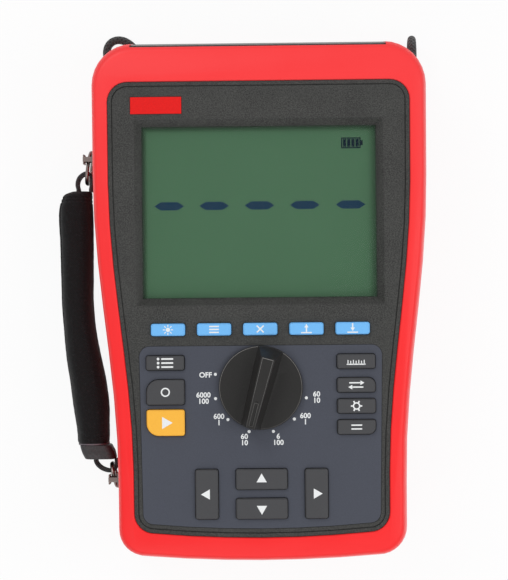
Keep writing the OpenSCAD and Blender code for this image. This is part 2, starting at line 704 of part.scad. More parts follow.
// Range knob and the rotary switch under it
hub_r = 5.2;
knob_gap = 0.4;
knob_rim = 2.6;
knob_z = face_z + knob_gap;
knob_top = face_z + knob_h;
handle_tail = 7.2;
handle_tip = 4.2;
handle_draft = 1.5;
shaft_out = 3;
shaft_end = board_z - shaft_out;
clip_z = board_z - 2 * shaft_out / 3;
clip_t = 0.8;
clip_neck = 0.8;
rotor_gap = 1;
rotor_z = board_top + rotor_gap;
rotor_t = 2.8;
groove_l = 12.5;
facet_l = 5.6;
facet_slope = 62;
dish_share = 0.7;
function handle_ring(z, grow) = [for (p = [[-1, -1], [1, -1], [1, 1], [-1, 1]])
  [p[0] * ((p[1] < 0 ? handle_tip : handle_tail) / 2 + grow), p[1] * knob_d / 2, z]];
module range_knob() color("#363432")
  translate([0, knob_y, 0]) {
    rotate([0, 0, knob_turn + 90]) {
      difference() {
        intersection() {
          capped_skin([handle_ring(knob_z + knob_rim / 2, 2 * handle_draft), handle_ring(knob_top, 0)]);
          rod(knob_d / 2 - edge_step, knob_z, knob_top);
        }
        translate([0, knob_d / 2 - facet_l, knob_top]) rotate([-facet_slope, 0, 0])
          box(-knob_d, knob_d, -over, knob_d, 0, knob_d);
        box(-groove_w, groove_w, handle_draft - knob_d / 2, handle_draft + groove_l - knob_d / 2,
          knob_top - edge_step, knob_top + over);
      }
      rotate_extrude()
        polygon([[0, knob_z], [knob_d / 2, knob_z], [knob_d / 2, knob_z + knob_rim - edge_step],
          [knob_d / 2 - edge_step, knob_z + knob_rim], [knob_d / 2 - 2 * edge_step, knob_z + knob_rim],
          [knob_d / 4, knob_z + dish_share * knob_rim], [0, knob_z + dish_share * knob_rim]]);
    }
    difference() {
      rod(shaft_r, shaft_end, knob_z + fit);
      difference() {
        rod(shaft_r + over, clip_z - fit / 4, clip_z + clip_t + fit / 4);
        rod(shaft_r - clip_neck, 0, case_h);
      }
    }
  }

module switch_rotor() color("#d8d4c4")
  translate([0, knob_y, 0])
    difference() {
      union() {
        rod(rotor_r, rotor_z, rotor_z + rotor_t);
        rod(hub_r + fit, rotor_z, panel_in - shell_t - seat);
      }
      rod(shaft_r + screw_fit, 0, case_h);
    }

module rotor_contacts() color("#c9a24a")
  translate([0, knob_y, 0])
    for (a = [30, 150, 270]) rotate([0, 0, a])
      box(0.62 * rotor_r, 0.9 * rotor_r, -0.08 * rotor_r, 0.08 * rotor_r, board_top + fit, rotor_z);

module shaft_clip() color("#c4c6c8")
  translate([0, knob_y, 0])
    difference() {
      rod(shaft_r + 2 * clip_neck, clip_z, clip_z + clip_t);
      rod(shaft_r - clip_neck + screw_fit, 0, case_h);
      box(-clip_neck, clip_neck, -2 * shaft_r, 0, 0, case_h);
    }

// Power board
module power_board() color("#1f6b3a")
  difference() {
    box(-power_w / 2, power_w / 2, power_foot_y, power_top_y, power_z, power_z + board_t);
    at(power_posts) rod(post_screw_r + seat, 0, case_h);
  }

power_part_shares = [[-0.2, 0.27, 0.9, 1.4], [-0.12, 0.27, 0.9, 1.4], [-0.2, 0.1, 1.1, 1.2], [-0.06, 0.06, 1.1, 0.8]];
module power_parts() color("#3c3f46") {
  for (p = power_part_shares)
    translate([p[0] * case_w, p[1] * case_l, 0])
      rod(p[2] * chip / 2, power_z + board_t, power_z + board_t + p[3] * chip);
  at(power_posts) {
    rod(post_screw_r, power_z - post_r, power_z + board_t);
    rod(2.2 * post_screw_r, power_z + board_t, power_z + board_t + 1.6 * post_screw_r);
  }
}

sink_w = 36;
sink_l = 42;
sink_h = 14;
fin_t = 1.6;
fins = 7;
module heat_sink() color("#9a9da1")
  translate([0.16 * case_w, 0.14 * case_l, power_z + board_t]) {
    box(-sink_w / 2, sink_w / 2, -sink_l / 2, sink_l / 2, 0, 2 * fin_t);
    for (i = [0 : fins - 1])
      translate([-sink_w / 2 + (sink_w - fin_t) * i / (fins - 1), -sink_l / 2, 0]) cube([fin_t, sink_l, sink_h]);
  }

// Battery
pack_z = cover_seat + fit;
module battery_pack() color("#3a6ea5")
  translate([0, bay_y + pack_l / 2, pack_z + pack_h / 2]) rotate([90, 0, 0])
    linear_extrude(pack_l)
      polygon(rounded(0, 0, pack_w, pack_h, [for (i = [0 : 3]) pack_h / 2 - fit]));

module battery_cover() color("#444442")
  difference() {
    box(-cover_w / 2, cover_w / 2, bay_y - cover_l / 2, bay_y + cover_l / 2, back_z + fit, cover_seat);
    at(cover_screws) {
      rod(screw_r + screw_fit, 0, cover_seat + over);
      rod(cover_boss_r + fit, 0, cover_seat - cover_t / 2);
    }
  }

module battery_cover_screws() color("#b9bcc0")
  at(cover_screws) {
    rod(screw_r, back_z + 2 * fit, cover_screw_top);
    rod(cover_boss_r, back_z + 2 * fit, cover_seat - cover_t / 2);
  }

module case_screws() color("#b9bcc0")
  at(case_bosses) {
    rod(screw_r, head_z, case_screw_top);
    rod(head_r, head_z, head_z + head_h);
  }

module rear_feet() color("#1e1e1e")
  at(feet_places) rod(foot_pad_r, 0, back_z + foot_seat);

// Tilt stand
module stand_pin(s, r)
  translate([s > 0 ? stand_w / 2 - pin_l / 2 : -stand_w / 2 - pin_l / 2, stand_y, hinge_z])
    rotate([0, 90, 0]) cylinder(r = r, h = pin_l);
module tilt_stand() color("#50504e")
  difference() {
    union() {
      box(-stand_w / 2, stand_w / 2, stand_y - stand_l, stand_y, stand_z, stand_z + stand_t);
      translate([-stand_w / 2, stand_y, hinge_z]) rotate([0, 90, 0]) cylinder(r = knuckle_r, h = stand_w);
    }
    for (s = [-1, 1]) stand_pin(s, pin_r + pin_fit);
    box(-stand_w / 4, stand_w / 4, stand_y - 0.82 * stand_l, stand_y - 0.2 * stand_l,
      0, stand_z + stand_t / 3);
  }
module stand_pins() color("#c4c6c8")
  for (s = [-1, 1]) stand_pin(s, pin_r);

// Terminal end
module terminal_panel() color("#8b8c8a")
  difference() {
    union() {
      box(-end_w / 2, end_w / 2, end_back - end_flange, end_face, end_z, end_top);
      box(-end_w / 2 - end_flange, end_w / 2 + end_flange, end_back - end_flange, end_back,
        end_z - end_flange, end_top + end_flange);
    }
    box(-end_w / 2 + end_side, end_w / 2 - end_side, end_back - 2 * end_flange, end_face - end_wall,
      end_z + end_side, end_top - end_side);
    for (x = socket_x) rod_y(collar_r + screw_fit, x, end_mid, end_back, end_face + over);
    rod_y(jack_r + screw_fit, jack_x, end_mid, end_back, end_face + over);
    box(port_x - port_w / 2 - screw_fit, port_x + port_w / 2 + screw_fit, end_back, end_face + over,
      end_mid - port_h / 2 - screw_fit, end_mid + port_h / 2 + screw_fit);
  }

collar_rise = 0.7;
collar_l = 20;
socket_rear = 2.2;
collar_back = end_face + collar_rise - collar_l;
socket_mouth = end_face - 2 * end_wall;
module terminal_collars() color("#2b2b2b")
  for (x = socket_x)
    difference() {
      union() {
        rod_y(collar_r, x, end_mid, collar_back, end_face + collar_rise);
        rod_y(collar_flange_r, x, end_mid, end_face - end_wall - 2 * end_side, end_face - end_wall);
      }
      rod_y(collar_bore_r, x, end_mid, collar_back + socket_rear, case_l);
      rod_y(sleeve_r + screw_fit, x, end_mid, 0, case_l);
    }

module terminal_sleeves() color("#c9a24a")
  for (x = socket_x)
    difference() {
      rod_y(sleeve_r, x, end_mid, socket_mouth - socket_l - 2 * socket_rear, socket_mouth);
      rod_y(socket_r, x, end_mid, socket_mouth - socket_l, case_l);
    }

port_wall = 1.2;
port_l = 16;
module data_port() color("#b8babc")
  translate([port_x, end_face - port_l, end_mid])
    difference() {
      box(-port_w / 2, port_w / 2, 0, port_l - fit, -port_h / 2, port_h / 2);
      difference() {
        box(-port_w / 2 + port_wall, port_w / 2 - port_wall, 2 * port_wall, port_l + over,
          -port_h / 2 + port_wall, port_h / 2 - port_wall);
        box(-port_w / 4, port_w / 4, 0, port_l - 2 * port_wall, -port_wall, port_wall);
      }
    }

jack_l = 14;
jack_bore_r = 3;
jack_pin_r = 1;
module charge_jack() color("#262626") {
  difference() {
    rod_y(jack_r, jack_x, end_mid, end_face - jack_l, end_face);
    rod_y(jack_bore_r, jack_x, end_mid, end_face - jack_l + port_wall, case_l);
  }
  rod_y(jack_pin_r, jack_x, end_mid, end_face - jack_l, end_face - port_wall);
}

// Hand strap: staples on the case, rings through them, webbing, pad and end band
arm_t = 1.2;
arm_w = 2.4;
bar_t = 0.8;
lug_w = 4.9;
lug_gap = 4;
wire_off = 2;
bar_off = wire_off + 2.1 * wire_r;
module strap_lugs() color("#8a8784")
  for (y = [lug_y, -low_lug_y]) translate([-half_w(y), y, seam_z]) {
    box(0, lug_seat - screw_fit, -lug_base_l / 2, lug_base_l / 2, -lug_base_h / 2, lug_base_h / 2);
    for (s = [-1, 1])
      box(-bar_off - bar_t, 0, -arm_w / 2, arm_w / 2, s > 0 ? lug_gap : -lug_gap - arm_t, s > 0 ? lug_gap + arm_t : -lug_gap);
    box(-bar_off - bar_t, -bar_off, -lug_w / 2, lug_w / 2, -lug_gap, lug_gap);
  }

// Rings: each is turned about Z, hangs by its upper bend and has two straight sides along Z
ring_turn = -97.9;
ring_off = 3.7;
low_ring_turn = 103;
low_ring_off = 1.85;
ring_side = 5;
module ring(y, r, turn, off)
  translate([-half_w(y) - wire_off, y, seam_z - sqrt(r * r - off * off)])
    rotate([0, 0, turn]) translate([off, 0, 0]) rotate([90, 0, 0]) {
      rotate_extrude(angle = 180) translate([r, 0]) circle(r = wire_r);
      translate([0, -ring_side, 0]) rotate([0, 0, 180]) rotate_extrude(angle = 180) translate([r, 0]) circle(r = wire_r);
      for (s = [-1, 1]) translate([s * r, 0, 0]) rotate([90, 0, 0]) cylinder(r = wire_r, h = ring_side);
    }
module strap_rings() color("#9a9794") {
  ring(lug_y, ring_r, ring_turn, ring_off);
  ring(-low_lug_y, low_ring_r, low_ring_turn, low_ring_off);
}

top_loop = 15.5;
low_loop = 17;
pad_top = lug_y - top_loop;
pad_foot = -low_lug_y + low_loop;
pad_l = pad_top - pad_foot;
pad_z = 0.5;
pad_mid = pad_z + pad_w / 2;
band_l = 7.2;
web_z = seam_z - sqrt(low_ring_r * low_ring_r - low_ring_off * low_ring_off) - ring_side / 2;
lug_x = -half_w(lug_y) - wire_off;
low_x = -half_w(-low_lug_y) - wire_off;
function strap_x(y) = lug_x + (low_x - lug_x) * (lug_y - y) / (lug_y + low_lug_y);

// Band of constant thickness along a line of points in the XY plane
function along(p, i) =
  let (a = p[max(i - 1, 0)], b = p[min(i + 1, len(p) - 1)], d = b - a) d / norm(d);
function beside(p, t) = [for (i = [0 : len(p) - 1]) let (d = along(p, i)) p[i] + t * [-d[1], d[0]]];
function reverse(p) = [for (i = [len(p) - 1 : -1 : 0]) p[i]];
function ribbon(p, t) = concat(beside(p, t / 2), reverse(beside(p, -t / 2)));

// Webbing loops, as shares of loop_l from the pad's end and the case's side
loop_l = 10;
top_loop_shares = [[-0.68, 0], [-0.68, 0.12], [-0.72, 0.3], [-0.7, 0.52], [-0.6, 0.72], [-0.42, 0.87],
  [-0.22, 0.93], [-0.07, 0.84], [0, 0.66], [0, 0.42], [-0.03, 0.2], [-0.05, 0.1], [-0.05, 0]];
low_loop_shares = [[-1.04, 0], [-1.04, -0.08], [-1, -0.2], [-0.9, -0.34], [-0.74, -0.47], [-0.54, -0.56],
  [-0.33, -0.6], [-0.15, -0.57], [-0.04, -0.43], [0, -0.24], [0, -0.08], [0, 0]];
module strap_webbing() color("#1c1c1c") {
  web_in = web_t / 2 + 2 * fit;
  translate([-half_w(pad_top) - web_in, pad_top, 0])
    prism(ribbon([for (s = top_loop_shares) loop_l * s], web_t), web_z - web_w / 2, web_z + web_w / 2);
  translate([-half_w(pad_foot - band_l) - web_in, pad_foot - band_l, 0])
    prism(ribbon([for (s = low_loop_shares) loop_l * s], web_t), web_z - web_w / 2, web_z + web_w / 2);
}

// Pad sections: distance along it, left and right edge as shares of pad_t from the line
// between the staples, and height as a share of pad_w
pad_shares = [[0, -0.62, -0.06, 0.72], [0.0135, -0.86, -0.06, 0.88], [0.0435, -0.98, -0.07, 0.97],
  [0.091, -1.06, -0.08, 1], [0.21, -1.09, -0.14, 1], [0.34, -1.14, -0.22, 1],
  [0.446, -1.18, -0.28, 1], [0.564, -1.18, -0.26, 1], [0.659, -1.175, -0.17, 1],
  [0.753, -1.12, -0.085, 1], [0.847, -1.085, -0.05, 1], [0.941, -1.03, -0.1, 1],
  [0.986, -1.03, -0.13, 0.96], [1, -0.98, -0.16, 0.85]];
pad_n = 20;
pad_power = 0.62;
function bulge(v) = sign(v) * pow(abs(v), pad_power);
module strap_pad() color("#1b1b1b")
  capped_skin([for (s = reverse(pad_shares))
    let (y = pad_top - s[0] * pad_l, mid = strap_x(y) + (s[1] + s[2]) * pad_t / 2, half = (s[2] - s[1]) * pad_t / 2)
    [for (i = [0 : pad_n - 1]) let (a = -360 * (i + 0.5) / pad_n)
      [mid + half * bulge(cos(a)), y, pad_mid + s[3] * pad_w / 2 * bulge(sin(a))]]]);

// End band below the pad, as shares of pad_t across and of band_l along
band_shares = [[-1, 0], [-0.1, 0], [-0.02, -0.35], [0.03, -0.72], [0.045, -1], [-0.84, -1], [-0.95, -0.5]];
band_w = 20;
module strap_end() color("#262528")
  translate([low_x - pad_t * 0.02, pad_foot, 0])
    prism([for (s = reverse(band_shares)) [s[0] * pad_t, s[1] * band_l]], web_z - band_w / 2, web_z + band_w / 2);

// Cord loops at the corners of the terminal end
cord_x = 77.1;
cord_high_z = 19;
left_route = [[-76.4, 111.2, 2.1], [-76.4, 116, 2.1], [-76.7, 120.8, 2.1], [-77.3, 124.4, 2.1],
  [-77.6, 127.6, 2.1], [-76.9, 130.5, 2.1], [-75, 132.7, 2.1], [-72.3, 133.7, 2.1],
  [-69.3, 133.4, 2.1], [-66.5, 132, 2.1], [-64.1, 129.9, 2.1], [-62.2, 127.3, 2.1],
  [-61, 124.2, 2.1], [-60.5, 120.6, 2.1], [-60.5, 116, 2.1], [-60.5, 111.2, 2.1]];
right_route = [[77.1, 111.2, 2.1], [77.1, 115, 2.1], [77.1, 119, 2.1], [77.1, 122.8, 2.1],
  [77.1, 127, 3.2], [77.1, 130.1, 6.3], [77.1, 131.2, 10.5], [77.1, 130.1, 14.8],
  [77.1, 127, 17.9], [77.1, 123.7, 19], [77.1, 118.4, 19]];
cord_sides = 10;
// Sweep with one fixed direction across the route's plane
module cord(route, across) {
  capped_skin([for (i = [0 : len(route) - 1])
    let (a = route[max(i - 1, 0)], b = route[min(i + 1, len(route) - 1)],
         d = (b - a) / norm(b - a), side = cross(across, d))
    [for (k = [0 : cord_sides - 1]) let (t = 360 * (k + 0.5) / cord_sides)
      route[i] + cord_d / 2 * (cos(t) * across + sin(t) * side)]]);
}
module cord_loop_left() color("#1a1a1a") cord(left_route, [0, 0, 1]);
module cord_loop_right() color("#1a1a1a") cord(right_route, [1, 0, 0]);

front_guard();
rear_guard();
front_casing();
rear_casing();
panel_overlay();
badge_plate();
display_window();
lcd_frame();
lcd_glass();
lcd_backlight();
lcd_connector();
main_board();
board_parts();
board_screws();
keypad_mat();
for (k = top_keys) key(k, "#7cc4fb");
for (k = side_keys) key(k, k[0] == "key_start" ? "#ffbf47" : "#4e4f50");
for (k = arrow_keys) key(k, "#4e4f50");
range_knob();
switch_rotor();
rotor_contacts();
shaft_clip();
power_board();
power_parts();
heat_sink();
battery_pack();
battery_cover();
battery_cover_screws();
case_screws();
rear_feet();
tilt_stand();
stand_pins();
terminal_panel();
terminal_sleeves();
terminal_collars();
data_port();
charge_jack();
strap_lugs();
strap_rings();
strap_webbing();
strap_pad();
strap_end();
cord_loop_left();
cord_loop_right();
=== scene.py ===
"""Finished look of a handheld micro ohmmeter with a red rubber guard and a hand strap."""
import json
import math
import bmesh
import bpy
from mathutils import Matrix, Vector, noise

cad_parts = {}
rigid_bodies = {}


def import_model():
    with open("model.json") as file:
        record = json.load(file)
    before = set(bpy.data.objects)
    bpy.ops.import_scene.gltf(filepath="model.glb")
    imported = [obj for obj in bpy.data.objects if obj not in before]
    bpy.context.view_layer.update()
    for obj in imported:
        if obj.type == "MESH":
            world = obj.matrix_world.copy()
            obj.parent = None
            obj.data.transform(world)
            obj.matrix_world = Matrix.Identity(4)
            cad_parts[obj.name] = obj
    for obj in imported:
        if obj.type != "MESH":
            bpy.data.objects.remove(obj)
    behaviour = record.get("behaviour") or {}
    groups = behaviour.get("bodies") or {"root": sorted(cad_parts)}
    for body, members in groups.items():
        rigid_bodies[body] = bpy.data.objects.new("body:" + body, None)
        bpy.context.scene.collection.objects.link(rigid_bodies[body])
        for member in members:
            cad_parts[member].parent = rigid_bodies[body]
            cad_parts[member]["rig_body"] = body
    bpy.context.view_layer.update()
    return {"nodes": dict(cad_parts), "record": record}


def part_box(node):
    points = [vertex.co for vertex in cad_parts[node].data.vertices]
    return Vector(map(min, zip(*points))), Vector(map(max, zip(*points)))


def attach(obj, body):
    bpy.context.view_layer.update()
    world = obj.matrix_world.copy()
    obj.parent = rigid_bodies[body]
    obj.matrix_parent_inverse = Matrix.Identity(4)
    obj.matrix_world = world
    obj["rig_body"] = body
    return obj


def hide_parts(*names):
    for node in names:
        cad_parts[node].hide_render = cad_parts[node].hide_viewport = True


bl_info = {
    "name": "Micro ohmmeter",
    "version": (1, 0, 0),
    "blender": (4, 5, 0),
    "location": "View3D > Sidebar > Meter",
    "description": "Builds the finished pieces of a handheld micro ohmmeter on its CAD frame",
    "category": "Object",
}

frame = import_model()
SLOT_OF = {part["node"]: part["material_slot"] for part in frame["record"]["subparts"]}
MM = 0.001
WELD = 0.003 * MM  # points of a CAD mesh that lie closer than this are one point
SEAM_WELD = 0.001 * MM  # the same for the skins and letters made here

# Camera solved from the photograph's outline, and the lamps: name, place, size, power
CAMERA_PLACE, CAMERA_TURN = (0.01455, -0.00665, 1.1114), (0.011, 0.0166, -0.0097)
SENSOR_H, FOCAL_PIXELS, IMAGE_PIXELS = 24.0, 2181.214, 580
LAMPS = (("key", (-0.5, 0.75, 0.95), 0.5, 4.0), ("fill", (0.8, -0.1, 0.9), 0.7, 4.0),
         ("low", (-0.2, -0.85, 0.8), 0.7, 2.6))
WORLD_LIGHT = 0.5
FLOOR_GLOW = 0.92
FLOOR_Z = -0.1

# Places below are in millimetres. Cord routes run from one mouth to the other.
CORD_ROUTES = (
    ("left", (0, 0, 1), [
        (-76.4, 111.2, 2.1), (-76.4, 116, 2.1), (-76.7, 120.8, 2.1), (-77.3, 124.4, 2.1), (-77.6, 127.6, 2.1),
        (-76.9, 130.5, 2.1), (-75, 132.7, 2.1), (-72.3, 133.7, 2.1), (-69.3, 133.4, 2.1), (-66.5, 132, 2.1),
        (-64.1, 129.9, 2.1), (-62.2, 127.3, 2.1), (-61, 124.2, 2.1), (-60.5, 120.6, 2.1), (-60.5, 116, 2.1),
        (-60.5, 111.2, 2.1)]),
    ("right", (1, 0, 0), [
        (77.1, 111.2, 2.1), (77.1, 115, 2.1), (77.1, 119, 2.1), (77.1, 122.8, 2.1), (77.1, 127, 3.2),
        (77.1, 130.1, 6.3), (77.1, 131.2, 10.5), (77.1, 130.1, 14.8), (77.1, 127, 17.9), (77.1, 123.7, 19),
        (77.1, 118.4, 19)]))

# CAD nodes of the case that get rounded edges, with their share of the edge rounding
CASE_NODES = (
    ("front_casing", 1), ("rear_casing", 1), ("terminal_panel", 1), ("terminal_collars", 1),
    ("terminal_sleeves", 0.5), ("data_port", 0.6), ("charge_jack", 0.6), ("tilt_stand", 1.2),
    ("battery_cover", 1), ("battery_cover_screws", 0.5), ("case_screws", 0.5), ("rear_feet", 1),
    ("panel_overlay", 0.3), ("badge_plate", 0.5), ("lcd_frame", 0.8), ("strap_lugs", 0.8), ("strap_rings", 0.4))
CROSS_RISE = 0.03  # how far the marks of screw heads stand over the head

ARROWS = {"right": 0, "up": 90, "left": 180, "down": 270}  # arrow keys and the turns of their signs

# Knob and dial
KNOB = Vector((0, -42.05))
KNOB_TURN = 345
# Painted highlight ring round the knob's rim: height, radius and width
KNOB_RIM_Z, KNOB_RIM_R, KNOB_RIM_W = 59.6, 19.95, 0.22
DIAL_RISE = 0.7  # the dial's middle lies this far over the knob's
DIAL_TURNS = range(165, 346, 30)
# Text, and its place from the knob's middle
DIAL_WORDS = (("OFF", -26.7, 6.2), ("6000\n100", -27.8, -5.0), ("600\n1", -20.4, -15.4),
              ("60\n10", -8.2, -25.2), ("6\n100", 8.2, -25.2), ("600\n1", 21.4, -15.4), ("60\n10", 26.9, -5.0))
# Painted highlight lines on the bar handle's edges, then round its marker groove: x, y, width, height, turn
KNOB_HIGHLIGHT_LINES = ((-2.3, -2.3, 0.16, 34, 1.05), (2.3, -2.3, 0.16, 34, -1.05), (0, 14.4, 5.2, 0.3, 0),
              (-0.95, -13, 0.2, 11, 0), (0.95, -13, 0.2, 11, 0), (0, -7.4, 1.7, 0.2, 0),
              (0, -18.6, 1.7, 0.2, 0))

# Display: half its width, its top edge, the dashes and the battery sign
SCREEN_HALF_W, SCREEN_TOP = 56.9, 84.8
DASH_XS, DASH_Y = (-43.9, -22.0, 0.1, 22.2, 44.5), 46.4
DASH_HALF_W, DASH_HALF_H, DASH_POINT = 7.3, 2.0, 3.2
SIGN_X, SIGN_Y = 44.9, 76.4
# Outline of the battery sign and its pole: x, y, width, height
SIGN_BARS = ((0, 2.35, 9.3, 0.6), (0, -2.35, 9.3, 0.6), (-4.45, 0, 0.6, 5.2), (4.45, 0, 0.6, 5.2),
             (5.2, 0, 1.1, 2.4))

# Hand strap. Rows hold: share along the piece, left edge and right edge as shares of its
# width scale, and for the pad its height share.
PAD_TOP, PAD_FOOT, PAD_MID_Z, PAD_HALF_H, PAD_SCALE = 55.5, -70.8, 15.7, 15.2, 17
PAD_SEAMS = (50.3, 52.1)
PAD_ROWS = [
    (0, -0.62, -0.06, 0.72), (0.0135, -0.86, -0.06, 0.88), (0.0435, -0.98, -0.07, 0.97),
    (0.091, -1.06, -0.08, 1), (0.21, -1.09, -0.14, 1), (0.34, -1.14, -0.22, 1), (0.446, -1.18, -0.28, 1),
    (0.564, -1.18, -0.26, 1), (0.659, -1.175, -0.17, 1), (0.753, -1.12, -0.085, 1),
    (0.847, -1.085, -0.05, 1), (0.941, -1.03, -0.1, 1), (0.986, -1.03, -0.13, 0.96), (1, -0.98, -0.16, 0.85)]
BAND_X, BAND_LENGTH, BAND_HALF_H = -73.83, 7.2, 19.6
BAND_ROWS = [(0, -1, -0.1), (0.25, -0.98, -0.045), (0.5, -0.95, 0.0), (0.75, -0.9, 0.03), (1, -0.84, 0.045)]
# Webbing loops: name, height along the meter, and points out from the guard in units of LOOP_SCALE
LOOP_SCALE, LOOP_GAP = 10, 1.3
LOOPS = (
    ("upper", PAD_TOP, [
        (-0.68, 0), (-0.68, 0.12), (-0.72, 0.3), (-0.7, 0.52), (-0.6, 0.72), (-0.42, 0.87), (-0.22, 0.93),
        (-0.07, 0.84), (0, 0.66), (0, 0.42), (-0.03, 0.2), (-0.05, 0.1), (-0.05, 0)]),
    ("lower", PAD_FOOT - BAND_LENGTH, [
        (-1.04, 0), (-1.04, -0.08), (-1, -0.2), (-0.9, -0.34), (-0.74, -0.47), (-0.54, -0.56),
        (-0.33, -0.6), (-0.15, -0.57), (-0.04, -0.43), (0, -0.24), (0, -0.08), (0, 0)]))


def tone(red, green, blue):
    """Screen colour out of 255 as the light values that shaders use."""
    return tuple(((c / 255 + 0.055) / 1.055) ** 2.4 for c in (red, green, blue))


def length(name, description, value):
    """A length property, given in millimetres."""
    return bpy.props.FloatProperty(name=name, description=description, default=value * MM, min=0.0,
                                   precision=5, unit="LENGTH")


def colour(name, description, red, green, blue):
    """A colour property, given as a screen colour out of 255."""
    return bpy.props.FloatVectorProperty(name=name, description=description, subtype="COLOR", size=3,
                                         min=0.0, max=1.0, default=tone(red, green, blue))


class MeterSizes(bpy.types.PropertyGroup):
    """Sizes that the finished pieces add to the CAD model."""
    edge_round: length("Edge rounding", "Radius on the moulded edges", 0.3)
    guard_round: length("Guard rounding", "Radius on the rubber guard's edges", 0.7)
    key_round: length("Key rounding", "Radius round the top of each key", 0.7)
    knob_round: length("Knob rounding", "Radius on the knob's edges", 0.35)
    print_rise: length("Print thickness", "How far printed marks stand over their surface", 0.04)
    dot_r: length("Dial dot", "Radius of the dial's dots", 0.75)
    dial_r: length("Dial radius", "Radius of the ring of dots round the knob", 22.7)
    text_h: length("Dial text", "Height of the dial's numbers", 3.5)
    cord_d: length("Cord diameter", "Diameter of the two braided cord loops", 4.2)
    web_t: length("Webbing thickness", "Thickness of the strap's webbing", 1.8)
    web_w: length("Webbing width", "Width of the strap's webbing", 11)
    piping_r: length("Piping radius", "Radius of the light piping at the pad's foot", 0.55)
    pad_slack: length("Pad slack", "How far the pad's cloth dips between its seams", 0.35)


class MeterColours(bpy.types.PropertyGroup):
    """Colours of the main finishes."""
    guard: colour("Guard", "Red rubber of the guard", 255, 36, 38)
    casing: colour("Casing", "Dark moulded front", 54, 54, 52)
    overlay: colour("Overlay", "Blue-grey film round the keys", 67, 70, 80)
    screen: colour("Screen", "Green of the display", 72, 110, 80)
    segment: colour("Segments", "Dark shapes on the display", 20, 52, 76)
    blue: colour("Blue keys", "Row of keys under the display", 118, 190, 248)
    yellow: colour("Yellow key", "Key that starts a test", 255, 188, 66)
    dark: colour("Dark keys", "Other keys", 66, 66, 68)
    knob: colour("Knob", "Range knob", 42, 41, 40)
    badge: colour("Badge plate", "Bare plate over the display", 232, 26, 24)
    pad: colour("Pad", "Cloth of the strap's pad", 10, 10, 11)
    leather: colour("End band", "Band under the pad", 34, 32, 34)


class Wire:
    """A socket of a finish, so that its maths is written as Python."""

    def __init__(self, finish, out):
        self.finish, self.out = finish, out

    def maths(self, operation, *values):
        return self.finish.node("ShaderNodeMath", {"operation": operation}, dict(enumerate(values)))

    def __add__(self, other):
        return self.maths("ADD", self, other)

    __radd__ = __add__

    def __sub__(self, other):
        return self.maths("SUBTRACT", self, other)

    def __rsub__(self, other):
        return self.maths("SUBTRACT", other, self)

    def __mul__(self, other):
        return self.maths("MULTIPLY", self, other)

    __rmul__ = __mul__

    def __truediv__(self, other):
        return self.maths("DIVIDE", self, other)

    def __abs__(self):
        return self.maths("ABSOLUTE", self)

    def __gt__(self, other):
        return self.maths("GREATER_THAN", self, other)

    def __lt__(self, other):
        return self.maths("LESS_THAN", self, other)

    def sine(self):
        return self.maths("SINE", self)

    def least(self, other):
        return self.maths("MINIMUM", self, other)

    def most(self, other):
        return self.maths("MAXIMUM", self, other)

    def within(self):
        return self.most(0.0).least(1.0)


class Finish:
    """A material built from nodes round one Principled shader."""

    def __init__(self, name, **fixed):
        self.material = bpy.data.materials.new(name)
        self.material.use_nodes = True
        self.tree = self.material.node_tree
        self.shader = self.tree.nodes["Principled BSDF"]
        for key, value in fixed.items():
            self.shader.inputs[key.replace("_", " ").title().replace("Ior", "IOR")].default_value = value
        self.place = self.node("ShaderNodeTexCoord", out="Object")

    def node(self, kind, settings=None, values=None, out=0):
        """A new node with settings and input values, as one of its outputs."""
        made = self.tree.nodes.new(kind)
        for key, value in (settings or {}).items():
            setattr(made, key, value)
        for key, value in (values or {}).items():
            self.put(made.inputs[key], value)
        return Wire(self, made.outputs[out])

    def put(self, socket, value):
        """Links a wire to an input, or sets the input to a number."""
        if isinstance(value, Wire):
            self.tree.links.new(value.out, socket)
        else:
            socket.default_value = value

    def paint(self, **values):
        """Sets inputs of the shader by name."""
        for key, value in values.items():
            self.put(self.shader.inputs[key.replace("_", " ").title()], value)
        return self

    def axes(self):
        """The object's own X, Y and Z."""
        split = self.node("ShaderNodeSeparateXYZ", values={0: self.place}).out.node
        return [Wire(self, out) for out in split.outputs]

    def round_and_along(self):
        """The piece's own map: once round it, and along it."""
        map_out = self.node("ShaderNodeUVMap", {"uv_map": "UVMap"})
        split = self.node("ShaderNodeSeparateXYZ", values={0: map_out}).out.node
        return Wire(self, split.outputs[0]), Wire(self, split.outputs[1])

    def cloud(self, size, detail=2.0, stretch=(1, 1, 1)):
        """Soft noise from 0 to 1 with features of a size in millimetres."""
        where = self.node("ShaderNodeMapping", values={"Vector": self.place, "Scale": stretch})
        return self.node("ShaderNodeTexNoise",
                         values={"Vector": where, "Scale": 1 / (size * MM), "Detail": detail})

    def cells(self, size):
        """Pebbles of a size in millimetres, 0 at their middles."""
        return self.node("ShaderNodeTexVoronoi", values={"Vector": self.place, "Scale": 1 / (size * MM)})

    def mix(self, share, first, second):
        """Two colours mixed by a share of the second."""
        def full(value):
            return value if isinstance(value, Wire) else (*value[:3], 1.0)
        return self.node("ShaderNodeMix", {"data_type": "RGBA"}, {0: share, 6: full(first), 7: full(second)},
                         out=2)

    def bump(self, height, depth):
        """Relief of a depth in millimetres."""
        return self.node("ShaderNodeBump", values={"Height": height, "Distance": depth * MM, "Strength": 1.0})


def dim(rgb, share):
    """A colour made darker or brighter."""
    return tuple(c * share for c in rgb)


def moulded(name, rgb, rough, grain=0.35, depth=0.02, mottle=0.1, **fixed):
    """Moulded plastic or rubber: fine grain, faint mottling and dull patches."""
    f = Finish(name, **{"specular_ior_level": 0.3, **fixed})
    fine, wide = f.cloud(grain, 3.0), f.cloud(18, 3.0)
    share = (fine * 0.85 + wide * 0.15 - 0.5) * 2.8 + 0.5
    f.paint(base_color=f.mix(share.within(), dim(rgb, 1 - mottle), dim(rgb, 1 + mottle)),
            roughness=rough + (wide - 0.5) * 0.16 + (fine - 0.5) * 0.1, normal=f.bump(fine, depth))
    return f.material


